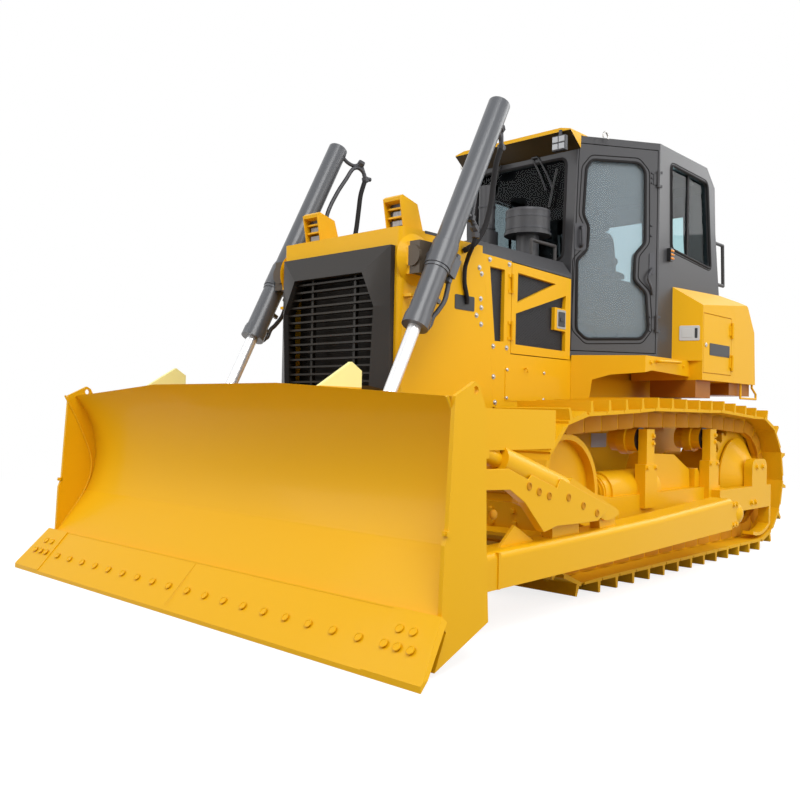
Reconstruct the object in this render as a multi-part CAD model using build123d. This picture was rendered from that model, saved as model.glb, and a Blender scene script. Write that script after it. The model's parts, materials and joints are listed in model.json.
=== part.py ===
from build123d import *
import math
import os

# Crawler dozer, full size, in millimetres.
# +X points forward, +Y to the machine's left, +Z up.
# The origin is on the ground under the middle of the machine's overall box.

# Clearances
SEAT = 0.3
RUNNING_GAP = 0.5
DOOR_GAP = 6.0

# Track chain: one fixed loop on each side
TRACK_PITCH = 203.2
SHOES_PER_SIDE = 38
PITCH_RADIUS = 408.0
HALF_GAUGE = 940.0
SHOE_WIDTH = 510.0
SHOE_LENGTH = 196.0
SHOE_SEAT = 62.0
SHOE_PLATE = 15.0
GROUSER_HEIGHT = 65.0
GROUSER_THICK = 20.0
GROUSER_SETBACK = 22.0
SHOE_PHASE = 0.397
RAIL_HEIGHT = 48.0
RAIL_THICK = 46.0
RAIL_GAP = 104.0
WEB_THICK = 6.0

# Wheels of the undercarriage
SPROCKET_X = -2000.0
SPROCKET_TEETH = 25
SPROCKET_ROOT = 372.0
SPROCKET_TIP = 420.0
SPROCKET_WIDTH = 70.0
DRIVE_HUB_RADIUS = 250.0
DRIVE_CASE_RADIUS = 300.0
DRIVE_CONE_RADIUS = 315.0
DRIVE_NOSE_RADIUS = 140.0
DRIVE_NECK_RADIUS = 190.0
ROLLER_TREAD_RADIUS = 98.0
ROLLER_FLANGE_RADIUS = 118.0
ROLLER_COUNT = 6
ROLLER_LEAD = 440.0
ROLLER_SHAFT = 32.0
CARRIER_PITCH_LINE = 1001.0
CARRIER_DROP = 3.0
CARRIER_TREAD_RADIUS = 79.0
CARRIER_FLANGE_RADIUS = 100.0
CARRIER_SHAFT = 34.0
CARRIER_X = (-315.0, -1290.0)

# Track frame
BEAM_HALF_WIDTH = 105.0
BEAM_TOP = 520.0
BEAM_BOTTOM = 430.0
BEAM_FRONT = 150.0
BEAM_REAR = -1480.0
WEB_OFFSET = 14.0
WEB_PLATE = 34.0
WEB_BOTTOM = 270.0
RECOIL_RADIUS = 130.0
RECOIL_Z = 540.0
RECOIL_FRONT = 90.0
RECOIL_REAR = -560.0
POST_OFFSET = 112.0
POST_THICK = 60.0
POST_HALF = 52.0
POST_BASE_HALF = 82.0
POST_BASE_TOP = 712.0
SHAFT_LEVEL_RISE = 68.0
BEARING_OFFSET = 180.0
BEARING_THICK = 65.0
BEARING_HALF = 150.0
BEARING_TOP = 708.0
REAR_BOX_TOP = 500.0
REAR_BOX_BOTTOM = 325.0
GUARD_ARC_OUTER = 440.0
GUARD_ARC_INNER = 415.0
GUARD_ARC_START = 57.0

# Blade
BLADE_HALF_WIDTH = 1694.0
MOLDBOARD_HALF = 1590.0
END_PLATE_THICK = 20.0
MOLDBOARD_THICK = 18.0
BLADE_TOP = 1142.0
BLADE_TOP_FRONT_X = 2330.0
BLADE_TOP_END = 1072.0
BLADE_TOP_FLAT = 536.0
BLADE_DEEP = (2112.0, 663.0)
BLADE_BEND = (2173.0, 469.0)
BLADE_TOE = (2362.0, 214.0)
EDGE_TIP_X = 2570.0
BEAM_REAR_X = 2050.0
EDGE_THICK = 25.0
EDGE_SETBACK = 1.0
END_BIT_LENGTH = 310.0
END_BIT_THICK = 32.0
END_BIT_TAPER = 80.0
BACK_BEAMS = ((830.0, 1000.0), (270.0, 420.0))

# Push arms and their ball trunnions
PIVOT_X = -1010.0
PIVOT_Z = 368.0
ARM_OFFSET = 415.0
ARM_WIDTH = 150.0
ARM_REAR = -870.0
ARM_TOPS = ((-870.0, 481.0), (200.0, 432.0), (800.0, 415.0), (2049.7, 388.0))
ARM_BOTTOMS = ((2049.7, 222.0), (700.0, 240.0), (-870.0, 276.0))
BALL_RADIUS = 88.0
BALL_CLEARANCE = 0.5
STUB_RADIUS = 48.0
STUB_CLEARANCE = 6.0
SOCKET_REAR = -985.0

# Braces from the push arms to the blade
BRACE_INBOARD = 55.0
BRACE_OUTBOARD = 50.0
TILT_RADIUS = 75.0
TILT_ROD_RADIUS = 42.0
TILT_LOW = (1160.0, 640.0)
TILT_HIGH = (2020.0, 905.0)
SCREW_RADIUS = 52.0

# Lift cylinders
LIFT_Y = 695.0
TRUNNION = (1328.0, 1870.0)
TRUNNION_RADIUS = 40.0
YOKE_OUTER = 618.0
LIFT_TILT_DEG = 27.2
BARREL_ABOVE = 1093.0
BARREL_BELOW = 452.0
BARREL_RADIUS = 66.0
GLAND_LIP = 8.0
ROD_RADIUS = 36.0
ROD_OVERLAP = 520.0
ROD_TO_EYE = 1405.0
EYE_RADIUS = 62.0
EYE_WIDTH = 80.0
RAISED_DEG = 17.5
RAISED_GAP = 9.0
EAR_THICK = 25.0
EAR_GAP = 6.0

# Radiator guard and hood
GUARD_FRONT = 1446.0
GUARD_HALF = 502.0
GUARD_TOP = 2046.0
GUARD_BOTTOM = 520.0
GUARD_REAR_LINE = ((712.0, 2003.0), (618.0, 1412.0), (581.0, 1150.0), (581.0, 1062.0))
GUARD_CORNER = 30.0
PANEL_THICK = 30.0
MASK_HALF = 459.0
MASK_BOTTOM = 1135.0
MASK_TOP = 1940.0
MASK_RIM = 34.0
MASK_PEAK = 90.0
MASK_OPENING = ((289.0, 1795.0), (385.0, 1600.0), (363.0, 1159.0))
SLAT_PITCH = 45.0
SLAT_THICK = 11.0
DIVIDER_Y = 182.0
LAMP_Y = 351.0
LAMP_HALF = 68.0
HOOD_REAR = -306.0
HOOD_TOP = 2095.0
HOOD_TOP_HALF = 430.0
HOOD_SHEET = 6.0
STACK_TOP = 2700.0
HOOD_EDGE_FRONT = 2003.0
HOOD_EDGE_REAR = 1976.0
LOWER_PANEL_BOTTOM = 1062.0
PANEL_SEAM = 1407.0
ENGINE_DOOR_FRONT = 400.0
ENGINE_DOOR_REAR = -300.0

# Cab
CAB_FLOOR = 1440.0
CAB_ROOF = 3000.0
DRAWN_FLOOR = 1440.0
DRAWN_ROOF = 3000.0
CAB_WALL = 50.0
CAB_FRONT_BOTTOM = -322.0
CAB_FRONT_TOP = -382.0
DOOR_LINE = (-476.0, 558.0)
DOOR_ALONG = (-0.831, 0.5563)
CAB_HALF = 850.0
REAR_RAIL_INSET = 18.0
GLASS_THICK = 8.0
VISOR_HALF = 515.0
REAR_VISOR_HALF = 480.0
DOOR_SILL = 40.0
DOOR_HEADER = 55.0
DOOR_REAR_S = 505.0
DOOR_GLASS_CORNER = 40.0

# Deck, tank and boxes
DECK_TOP = 1440.0
DECK_BOTTOM = 1330.0
DECK_HALF = 950.0
DECK_BEND_X = -540.0
DECK_REAR = -1221.7
DECK_INNER = 480.0
DECK_SHEET = 16.0
BOX_SIDE_Y = 1050.0
BOX_INNER_Y = 850.5
BOX_BOTTOM = 1300.0
BOX_FRONT_INNER = -1140.0
BOX_FRONT_OUTER = -1222.0
BOX_REAR = -1800.0
BOX_DOOR_THICK = 12.0
BOX_DOOR = (-1738.0, -1240.0, 1357.0, 1790.0)
TANK_REAR = -2262.0
TANK_CORNER_Y = 1040.0
BELLY_INNER = 640.0
BELLY_OUTER = 1000.0
BOX_BELLY_REAR = -1480.0
BOX_BELLY_BOTTOM = 1170.0
TANK_BELLY_BOTTOM = 1205.0
TANK_BELLY_SETBACK = 22.0
DRAWBAR_REAR = -2570.0
DRAWBAR_HALF = 110.0
DRAWBAR_Z = (450.0, 610.0)
DRAWBAR_SLOT = (500.0, 560.0)
DRAWBAR_PIN_RADIUS = 26.0
DRAWBAR_PIN_X = -2510.0

# Main frame
FRAME_HALF = 400.0
FRAME_BOTTOM = 420.0
FRAME_TOP = 1000.0
REAR_CASE_HALF = 420.0
REAR_CASE_REAR = -2240.0

# Hinges of the doors
KNUCKLE_RADIUS = 11.0
HINGE_PIN = 5.0
HINGE_HALF = 40.0
HINGE_EAR = 20.0
HINGE_STAND = 12.0
HINGE_LEAF = 34.0

# Sizes worked out from the ones above
SHOE_OUTER = SHOE_SEAT + SHOE_PLATE
TIP_OFFSET = SHOE_OUTER + GROUSER_HEIGHT
AXLE_Z = PITCH_RADIUS + TIP_OFFSET
LOOP_LENGTH = TRACK_PITCH * SHOES_PER_SIDE
RAIL_RADIUS = PITCH_RADIUS - RAIL_HEIGHT
BOTTOM_RAIL_Z = AXLE_Z - RAIL_RADIUS
CARRIER_BELT_RADIUS = CARRIER_TREAD_RADIUS + CARRIER_DROP + RAIL_HEIGHT
CARRIER_Z = CARRIER_PITCH_LINE - CARRIER_BELT_RADIUS
RAIL_HALF = RAIL_GAP / 2 + RAIL_THICK
WEB_INNER = RAIL_HALF + WEB_OFFSET
FRAME_INNER_Y = HALF_GAUGE - WEB_INNER - WEB_PLATE
POST_INNER = HALF_GAUGE + POST_OFFSET
POST_OUTER = POST_INNER + POST_THICK
BEARING_INNER = HALF_GAUGE + BEARING_OFFSET
BEARING_OUTER = BEARING_INNER + BEARING_THICK
ARM_CENTRE_Y = HALF_GAUGE + ARM_OFFSET
BRACE_INNER = ARM_CENTRE_Y - BRACE_INBOARD
BRACE_OUTER = ARM_CENTRE_Y + BRACE_OUTBOARD
DOOR_BOTTOM = CAB_FLOOR + DOOR_SILL
DOOR_TOP = CAB_ROOF - DOOR_HEADER
ROLLER_Z = BOTTOM_RAIL_Z + ROLLER_TREAD_RADIUS + RUNNING_GAP


def block(x0, x1, y0, y1, z0, z1):
    """A box between two corners."""
    centre = ((x0 + x1) / 2, (y0 + y1) / 2, (z0 + z1) / 2)
    return Pos(*centre) * Box(abs(x1 - x0), abs(y1 - y0), abs(z1 - z0))


def side_face(points):
    """A polygon in the X-Z plane, looking from the machine's right."""
    plane = Plane(origin=(0, 0, 0), x_dir=(1, 0, 0), z_dir=(0, -1, 0))
    return plane * Polygon(*points, align=None)


def side_plate(points, y0, y1):
    """A polygon in the X-Z plane, extruded from y0 to y1."""
    return extrude(Pos(0, max(y0, y1), 0) * side_face(points), abs(y1 - y0), dir=(0, -1, 0))


def plan_plate(points, z0, z1):
    """A polygon in the X-Y plane, extruded from z0 to z1."""
    return extrude(Pos(0, 0, z0) * Polygon(*points, align=None), z1 - z0, dir=(0, 0, 1))


def front_plate(points, x0, x1):
    """A polygon in the Y-Z plane, extruded from x0 to x1."""
    plane = Plane(origin=(x0, 0, 0), x_dir=(0, 1, 0), z_dir=(1, 0, 0))
    return extrude(plane * Polygon(*points, align=None), x1 - x0, dir=(1, 0, 0))


def y_cylinder(radius, x, z, y0, y1):
    """A cylinder along Y between y0 and y1."""
    return Pos(x, (y0 + y1) / 2, z) * Rot(90, 0, 0) * Cylinder(radius, abs(y1 - y0))


def x_cylinder(radius, y, z, x0, x1):
    """A cylinder along X between x0 and x1."""
    return Pos((x0 + x1) / 2, y, z) * Rot(0, 90, 0) * Cylinder(radius, abs(x1 - x0))


def z_cylinder(radius, x, y, z0, z1):
    """A cylinder along Z between z0 and z1."""
    return Pos(x, y, (z0 + z1) / 2) * Cylinder(radius, abs(z1 - z0))


def rod_between(radius, start, end):
    """A round bar between two points."""
    line = Line(start, end)
    return extrude(Plane(origin=start, z_dir=line.tangent_at(0)) * Circle(radius), line.length)


def bent_bar(radius, points):
    """A round bar through several points, with a ball at each bend."""
    bar = rod_between(radius, points[0], points[1])
    for here, there in zip(points[1:-1], points[2:]):
        bar += Pos(*here) * Sphere(radius)
        bar += rod_between(radius, here, there)
    return bar


def flip(shape):
    """The mirror image on the machine's other side."""
    return mirror(shape, about=Plane.XZ)


def mix(low, high, share):
    """A value part of the way between two."""
    return low + (high - low) * share


def cab_height(z):
    """A height drawn for the cab at its real size, moved with the floor and roof in use."""
    return mix(CAB_FLOOR, CAB_ROOF, (z - DRAWN_FLOOR) / (DRAWN_ROOF - DRAWN_FLOOR))


def group(solids):
    """Several solids that don't touch, as one sub-part."""
    return Compound(children=list(solids))


def pair(solid):
    """A solid and its mirror image, as one sub-part of two solids."""
    return group([solid, flip(solid)])


# Track chain


def chain_path():
    """The belt line round the wheels: straight runs and arcs, in the order of travel."""

    def heading(here, there):
        dx = there[0] - here[0]
        dz = there[1] - here[1]
        lean = math.asin((here[2] - there[2]) / math.hypot(dx, dz))
        return (math.atan2(dz, dx) + lean) % (2 * math.pi)

    def runs(idler_x):
        wheels = [(SPROCKET_X, AXLE_Z, PITCH_RADIUS), (idler_x, AXLE_Z, PITCH_RADIUS)]
        wheels += [(x, CARRIER_Z, CARRIER_BELT_RADIUS) for x in CARRIER_X]
        turns = [heading(w, wheels[(i + 1) % len(wheels)]) for i, w in enumerate(wheels)]
        path = []
        for i, (x, z, radius) in enumerate(wheels):
            following = wheels[(i + 1) % len(wheels)]
            turn = turns[i]
            start = (x + radius * math.sin(turn), z - radius * math.cos(turn))
            end = (following[0] + following[2] * math.sin(turn), following[1] - following[2] * math.cos(turn))
            path.append(("run", start, turn, math.dist(start, end)))
            sweep = (turns[(i + 1) % len(wheels)] - turn) % (2 * math.pi)
            path.append(("arc", following, turn, following[2] * sweep))
        return path

    near, far = 0.0, 1200.0
    for _ in range(50):
        middle = (near + far) / 2
        if sum(piece[3] for piece in runs(middle)) < LOOP_LENGTH:
            near = middle
        else:
            far = middle
    return near, runs(near)


IDLER_X, CHAIN_PATH = chain_path()


def track_station(distance):
    """Point and heading of the chain's pitch line at a distance round the loop."""
    distance = distance % LOOP_LENGTH
    for kind, place, turn, length in CHAIN_PATH:
        if distance <= length:
            break
        distance -= length
    if kind == "run":
        return place[0] + distance * math.cos(turn), place[1] + distance * math.sin(turn), turn
    turn += distance / place[2]
    return place[0] + place[2] * math.sin(turn), place[1] - place[2] * math.cos(turn), turn


def on_shoe(index, along, out):
    """A point in the frame of one shoe: along its travel, and out from the pitch line."""
    x, z, turn = track_station((index + SHOE_PHASE) * TRACK_PITCH)
    forward = (math.cos(turn), math.sin(turn))
    outward = (math.sin(turn), -math.cos(turn))
    return (x + along * forward[0] + out * outward[0], z + along * forward[1] + out * outward[1])


def track_loop():
    """Shoes with their grousers, on two link rails, as one closed loop."""
    half = SHOE_LENGTH / 2
    foot = half - GROUSER_SETBACK
    shoe = (
        (-half, SHOE_SEAT),
        (-half, SHOE_OUTER),
        (-foot - 0.2 * GROUSER_THICK, SHOE_OUTER),
        (-foot, TIP_OFFSET),
        (-foot + GROUSER_THICK, TIP_OFFSET),
        (-foot + 1.4 * GROUSER_THICK, SHOE_OUTER),
        (half, SHOE_OUTER),
        (half, SHOE_SEAT),
    )
    outer = []
    seat = []
    rail = []
    band = []
    for index in range(SHOES_PER_SIDE):
        outer += [on_shoe(index, along, out) for along, out in shoe]
        seat.append(on_shoe(index, -TRACK_PITCH / 2, SHOE_SEAT - WEB_THICK))
        band.append(on_shoe(index, -TRACK_PITCH / 2, SHOE_SEAT - 1))
        rail += [on_shoe(index, share * TRACK_PITCH, -RAIL_HEIGHT) for share in (-0.4, 0.4)]
    low = HALF_GAUGE - SHOE_WIDTH / 2
    high = HALF_GAUGE + SHOE_WIDTH / 2
    loop = side_plate(outer, low, high) - side_plate(seat, low, high)
    for side in (-1, 1):
        near = HALF_GAUGE + side * RAIL_GAP / 2
        far = near + side * RAIL_THICK
        loop += side_plate(band, near, far) - side_plate(rail, near, far)
    return loop


# Wheels


def sprocket():
    """Toothed drive wheel between the two link rails."""
    step = 2 * math.pi / SPROCKET_TEETH
    tooth = ((-0.34, SPROCKET_ROOT), (-0.12, SPROCKET_TIP), (0.12, SPROCKET_TIP), (0.34, SPROCKET_ROOT))
    points = []
    for index in range(SPROCKET_TEETH):
        for share, radius in tooth:
            angle = (index + share) * step
            points.append((SPROCKET_X + radius * math.cos(angle), AXLE_Z + radius * math.sin(angle)))
    half = SPROCKET_WIDTH / 2
    wheel = side_plate(points, HALF_GAUGE - half, HALF_GAUGE + half)
    return wheel - y_cylinder(DRIVE_HUB_RADIUS + SEAT, SPROCKET_X, AXLE_Z, HALF_GAUGE - 60, HALF_GAUGE + 60)


def idler():
    """Front guide wheel with a tread on each side of its centre flange."""
    tread = RAIL_RADIUS - RUNNING_GAP
    wheel = y_cylinder(tread, IDLER_X, AXLE_Z, HALF_GAUGE - RAIL_HALF, HALF_GAUGE + RAIL_HALF)
    wheel += y_cylinder(tread + 22, IDLER_X, AXLE_Z, HALF_GAUGE - SPROCKET_WIDTH / 2, HALF_GAUGE + SPROCKET_WIDTH / 2)
    for side in (-1, 1):
        face = HALF_GAUGE + side * RAIL_HALF
        wheel -= y_cylinder(tread - 34, IDLER_X, AXLE_Z, face - side * 55, face)
        wheel += y_cylinder(92, IDLER_X, AXLE_Z, HALF_GAUGE, face + side * 6)
    return wheel - y_cylinder(60 + SEAT, IDLER_X, AXLE_Z, HALF_GAUGE - RAIL_HALF - 10, HALF_GAUGE + RAIL_HALF + 10)


def roller_places():
    """Where the bottom rollers stand along the track."""
    front = IDLER_X - ROLLER_LEAD
    rear = SPROCKET_X + 520
    return [mix(rear, front, i / (ROLLER_COUNT - 1)) for i in range(ROLLER_COUNT)]


def bottom_roller(x):
    """One bottom roller with its centre flange and its shaft out to the frame's webs."""
    wheel = y_cylinder(ROLLER_TREAD_RADIUS, x, ROLLER_Z, HALF_GAUGE - RAIL_HALF, HALF_GAUGE + RAIL_HALF)
    wheel += y_cylinder(ROLLER_FLANGE_RADIUS, x, ROLLER_Z, HALF_GAUGE - 36, HALF_GAUGE + 36)
    reach = WEB_INNER - SEAT
    return wheel + y_cylinder(ROLLER_SHAFT, x, ROLLER_Z, HALF_GAUGE - reach, HALF_GAUGE + reach)


def carrier_roller(x):
    """One top roller: two treads, a centre flange and an outer lip, bored for its shaft."""
    wheel = y_cylinder(CARRIER_TREAD_RADIUS, x, CARRIER_Z, HALF_GAUGE - RAIL_HALF, HALF_GAUGE + RAIL_HALF)
    wheel += y_cylinder(CARRIER_FLANGE_RADIUS, x, CARRIER_Z, HALF_GAUGE - 30, HALF_GAUGE + 30)
    return wheel - y_cylinder(CARRIER_SHAFT + SEAT, x, CARRIER_Z, HALF_GAUGE + 39, HALF_GAUGE + RAIL_HALF + 1)


def final_drive():
    """Gear case round the sprocket's shaft: neck, drum, hub and outer cone."""
    half = SPROCKET_WIDTH / 2
    outline = (
        (0, REAR_CASE_HALF),
        (DRIVE_NECK_RADIUS, REAR_CASE_HALF),
        (DRIVE_NECK_RADIUS, 580),
        (DRIVE_CASE_RADIUS, 640),
        (DRIVE_CASE_RADIUS, HALF_GAUGE - half - 25),
        (DRIVE_HUB_RADIUS, HALF_GAUGE - half - 25),
        (DRIVE_HUB_RADIUS, HALF_GAUGE + half + 10),
        (DRIVE_CONE_RADIUS, HALF_GAUGE + half + 12),
        (DRIVE_CONE_RADIUS, HALF_GAUGE + half + 25),
        (DRIVE_NOSE_RADIUS, BEARING_INNER - 8),
        (DRIVE_NOSE_RADIUS - 30, BEARING_INNER - SEAT),
        (0, BEARING_INNER - SEAT),
    )
    plane = Plane(origin=(SPROCKET_X, 0, AXLE_Z), x_dir=(1, 0, 0), z_dir=(0, 0, 1))
    return revolve(plane * Polygon(*outline, align=None), Axis((SPROCKET_X, 0, AXLE_Z), (0, 1, 0)), 360)


# Track frame


def carrier_post(x):
    """Post with its clamp slot, and the roller's shaft."""
    top = CARRIER_Z + SHAFT_LEVEL_RISE
    post = block(x - POST_BASE_HALF, x + POST_BASE_HALF, POST_INNER - 6, POST_OUTER + 8, BEAM_BOTTOM, POST_BASE_TOP)
    post += block(x - POST_HALF, x + POST_HALF, POST_INNER, POST_OUTER, POST_BASE_TOP - 10, top)
    post += y_cylinder(CARRIER_SHAFT, x, CARRIER_Z, HALF_GAUGE + 40, POST_OUTER - 10)
    return post - block(x - POST_HALF - 1, x - 20, POST_INNER - 1, POST_OUTER + 1, CARRIER_Z - 4, CARRIER_Z + 4)


def saddle():
    """Sloped cover over the frame's middle, with a second one behind it."""
    front = side_plate(
        ((-470, BEAM_BOTTOM), (-470, 600), (-560, 772), (-860, 760), (-1110, 645), (-1130, BEAM_BOTTOM)),
        HALF_GAUGE - BEAM_HALF_WIDTH,
        HALF_GAUGE + 72,
    )
    rear = side_plate(
        ((-1130, BEAM_BOTTOM), (-1130, 655), (-1180, 655), (-1290, 520), (-1290, BEAM_BOTTOM)),
        HALF_GAUGE - BEAM_HALF_WIDTH,
        HALF_GAUGE + BEAM_HALF_WIDTH,
    )
    return front + rear


def sprocket_guard():
    """Curved strip that hangs from the rear box and follows the inside of the chain."""
    points = []
    for radius, steps in ((GUARD_ARC_OUTER, range(7)), (GUARD_ARC_INNER, range(6, -1, -1))):
        for step in steps:
            angle = math.radians(GUARD_ARC_START + 8 * step)
            points.append((SPROCKET_X - radius * math.cos(angle), AXLE_Z - radius * math.sin(angle)))
    x0, z0 = points[0]
    hanger = block(x0, x0 + 34, BEARING_INNER - 20, BEARING_OUTER, z0 + 12, REAR_BOX_BOTTOM + 5)
    return side_plate(points, BEARING_INNER - 20, BEARING_OUTER) + hanger


def outer_bearing():
    """Rear box and the round-topped bearing bracket outboard of the final drive."""
    box_rear = SPROCKET_X - 240
    box = block(box_rear, BEAM_REAR + 10, BEARING_INNER, BEARING_OUTER, REAR_BOX_BOTTOM, REAR_BOX_TOP)
    box += block(BEAM_REAR - 40, BEAM_REAR + 230, HALF_GAUGE + 80, BEARING_OUTER, REAR_BOX_BOTTOM + 90, REAR_BOX_TOP)
    bracket = block(
        SPROCKET_X - BEARING_HALF, SPROCKET_X + BEARING_HALF, BEARING_INNER, BEARING_OUTER, REAR_BOX_TOP - 5, BEARING_TOP
    )
    corners = bracket.edges().filter_by(Axis.Y).group_by(Axis.Z)[-1]
    return box + fillet(corners, 70)


def track_frame():
    """Roller frame: beam, webs, recoil barrel, carrier posts, ball trunnion and outer bearing."""
    y0 = HALF_GAUGE - BEAM_HALF_WIDTH
    y1 = HALF_GAUGE + BEAM_HALF_WIDTH
    frame = block(BEAM_REAR, BEAM_FRONT, y0, y1, BEAM_BOTTOM, BEAM_TOP)
    for side in (-1, 1):
        near = HALF_GAUGE + side * WEB_INNER
        web = side_plate(
            ((BEAM_REAR, WEB_BOTTOM + 40), (BEAM_REAR, BEAM_TOP), (BEAM_FRONT, BEAM_TOP), (IDLER_X + 70, AXLE_Z + 60),
             (IDLER_X + 110, AXLE_Z), (IDLER_X + 40, AXLE_Z - 120), (160, WEB_BOTTOM), (-1400, WEB_BOTTOM)),
            near,
            near + side * WEB_PLATE,
        )
        frame += web
    frame += x_cylinder(RECOIL_RADIUS, HALF_GAUGE, RECOIL_Z, RECOIL_REAR, RECOIL_FRONT)
    frame += x_cylinder(RECOIL_RADIUS - 12, HALF_GAUGE, RECOIL_Z, RECOIL_FRONT - 20, RECOIL_FRONT + 60)
    frame += saddle()
    frame += y_cylinder(60, IDLER_X, AXLE_Z, HALF_GAUGE - WEB_INNER - 5, HALF_GAUGE + WEB_INNER + 5)
    for x in CARRIER_X:
        frame += carrier_post(x)
    frame += outer_bearing() + sprocket_guard()
    frame += Pos(PIVOT_X, ARM_CENTRE_Y, PIVOT_Z) * Sphere(BALL_RADIUS)
    return frame + y_cylinder(STUB_RADIUS, PIVOT_X, PIVOT_Z, HALF_GAUGE + WEB_INNER + 10, ARM_CENTRE_Y)


# Blade


def moldboard_face(offset):
    """The blade's hollow face line, moved back by offset: top, deepest point, bend and toe."""
    (dx, dz), (bx, bz), (tx, tz) = BLADE_DEEP, BLADE_BEND, BLADE_TOE
    return (
        (BLADE_TOP_FRONT_X - offset * 0.95, BLADE_TOP + offset * 0.3),
        (dx - offset, dz),
        (bx - offset * 0.84, bz - offset * 0.54),
        (tx - offset * 0.8, tz - offset * 0.6),
    )


def curved_strip(front, back, y0, y1):
    """A strip between two offsets of the blade's face line."""
    a = moldboard_face(front)
    b = moldboard_face(back)
    edges = [
        ThreePointArc(a[0], a[1], a[2]),
        Line(a[2], a[3]),
        Line(a[3], b[3]),
        Line(b[3], b[2]),
        ThreePointArc(b[2], b[1], b[0]),
        Line(b[0], a[0]),
    ]
    plane = Plane(origin=(0, y1, 0), x_dir=(1, 0, 0), z_dir=(0, -1, 0))
    return extrude(plane * make_face(edges), y1 - y0, dir=(0, -1, 0))


def blade_top_cutter():
    """What lies above the blade's three-part top line."""
    half = BLADE_HALF_WIDTH + 10
    high = BLADE_TOP + 200
    points = (
        (-half, BLADE_TOP_END), (-BLADE_TOP_FLAT, BLADE_TOP), (BLADE_TOP_FLAT, BLADE_TOP),
        (half, BLADE_TOP_END), (half, high), (-half, high),
    )
    return front_plate(points, 1900, 2600)


def end_plate(y0, y1):
    """One of the blade's two end plates, with its lifting hole."""
    points = (
        (2301, 1082), (2177, 1143), (2150, 1128), (2101, 1030), (2085, 499), (2063, 162),
        (2397, 20), (2333, 163), (2362, 214), (2350, 500), (2332, 547),
    )
    return side_plate(points, y0, y1) - y_cylinder(17, 2172, 1108, y0 - 1, y1 + 1)


def raised_barrel_corner():
    """Front lower corner of the barrel's space with the blade fully raised, as the blade sees it."""
    turn = math.radians(-RAISED_DEG)
    dx, dz = TRUNNION[0] - PIVOT_X, TRUNNION[1] - PIVOT_Z
    x = PIVOT_X + dx * math.cos(turn) - dz * math.sin(turn)
    z = PIVOT_Z + dx * math.sin(turn) + dz * math.cos(turn)
    eye_x, eye_z = lift_axis(ROD_TO_EYE)
    length = math.hypot(eye_x - x, eye_z - z)
    ux, uz = (eye_x - x) / length, (eye_z - z) / length
    along = BARREL_BELOW + RAISED_GAP
    across = BARREL_RADIUS + GLAND_LIP + RAISED_GAP
    return x + ux * along - uz * across, z + uz * along + ux * across


def lift_ears(side):
    """The pair of plates that hold one lift cylinder's eye; the outer one rises above the blade."""
    plates = []
    for ear in (-1, 1):
        low = side * LIFT_Y + ear * (EYE_WIDTH / 2 + EAR_GAP)
        high = low + ear * EAR_THICK
        top = ((2015, 800), (2200, 800))
        if ear * side > 0:
            top = ((1987, 1210), (2054, 1251), (2262, 1127))
        points = ((1890, 560), (1890, 685), raised_barrel_corner()) + top + ((2200, 600), (2230, 430), (2000, 430))
        plate = side_plate(points, low, high)
        plates.append(plate - curved_strip(-400, MOLDBOARD_THICK - 2, -MOLDBOARD_HALF, MOLDBOARD_HALF))
    return plates


def moldboard():
    """Curved plate, end plates, back beams and the eyes for arms and cylinders."""
    blade = curved_strip(0, MOLDBOARD_THICK, -MOLDBOARD_HALF, MOLDBOARD_HALF) - blade_top_cutter()
    front = curved_strip(-400, MOLDBOARD_THICK - 2, -MOLDBOARD_HALF - 1, MOLDBOARD_HALF + 1)
    for z0, z1 in BACK_BEAMS:
        blade += block(BEAM_REAR_X, 2300, -MOLDBOARD_HALF, MOLDBOARD_HALF, z0, z1) - front
    for y in (-1200, -300, 300, 1200):
        rib = side_plate(((BEAM_REAR_X, 270), (BEAM_REAR_X, 1000), (2150, 1090), (2300, 1090), (2300, 270)), y - 10, y + 10)
        blade += rib - front
    for side in (-1, 1):
        y = side * MOLDBOARD_HALF
        blade += end_plate(min(y, y + side * END_PLATE_THICK), max(y, y + side * END_PLATE_THICK))
        for plate in lift_ears(side):
            blade += plate
    return blade


def edge_strip(y0, y1, thick):
    """A bolt-on edge from the moldboard's toe down to the ground."""
    tx, tz = BLADE_TOE
    length = math.hypot(EDGE_TIP_X - tx, tz)
    ux, uz = (EDGE_TIP_X - tx) / length, -tz / length
    nx, nz = -uz, ux
    points = (
        (tx + nx * EDGE_SETBACK, tz + nz * EDGE_SETBACK),
        (tx + nx * (thick + EDGE_SETBACK), tz + nz * (thick + EDGE_SETBACK)),
        (EDGE_TIP_X, thick * 0.8),
        (EDGE_TIP_X, 0),
        (EDGE_TIP_X - ux * 20, -uz * 20),
    )
    return side_plate(points, y0, y1)


def cutting_edge():
    """Middle edge and the two end bits with their slanted outer sides."""
    inner = BLADE_HALF_WIDTH - END_BIT_LENGTH
    edge = edge_strip(-inner, inner, EDGE_THICK)
    for side in (-1, 1):
        edge += edge_strip(min(side * inner, side * BLADE_HALF_WIDTH), max(side * inner, side * BLADE_HALF_WIDTH), END_BIT_THICK)
        y = side * BLADE_HALF_WIDTH
        corner = front_plate(((y, 40), (y + side * 20, 40), (y + side * 20, 300), (y - side * END_BIT_TAPER, 300)), 2300, 2640)
        edge -= corner
    return edge


# Push arms and braces


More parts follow.
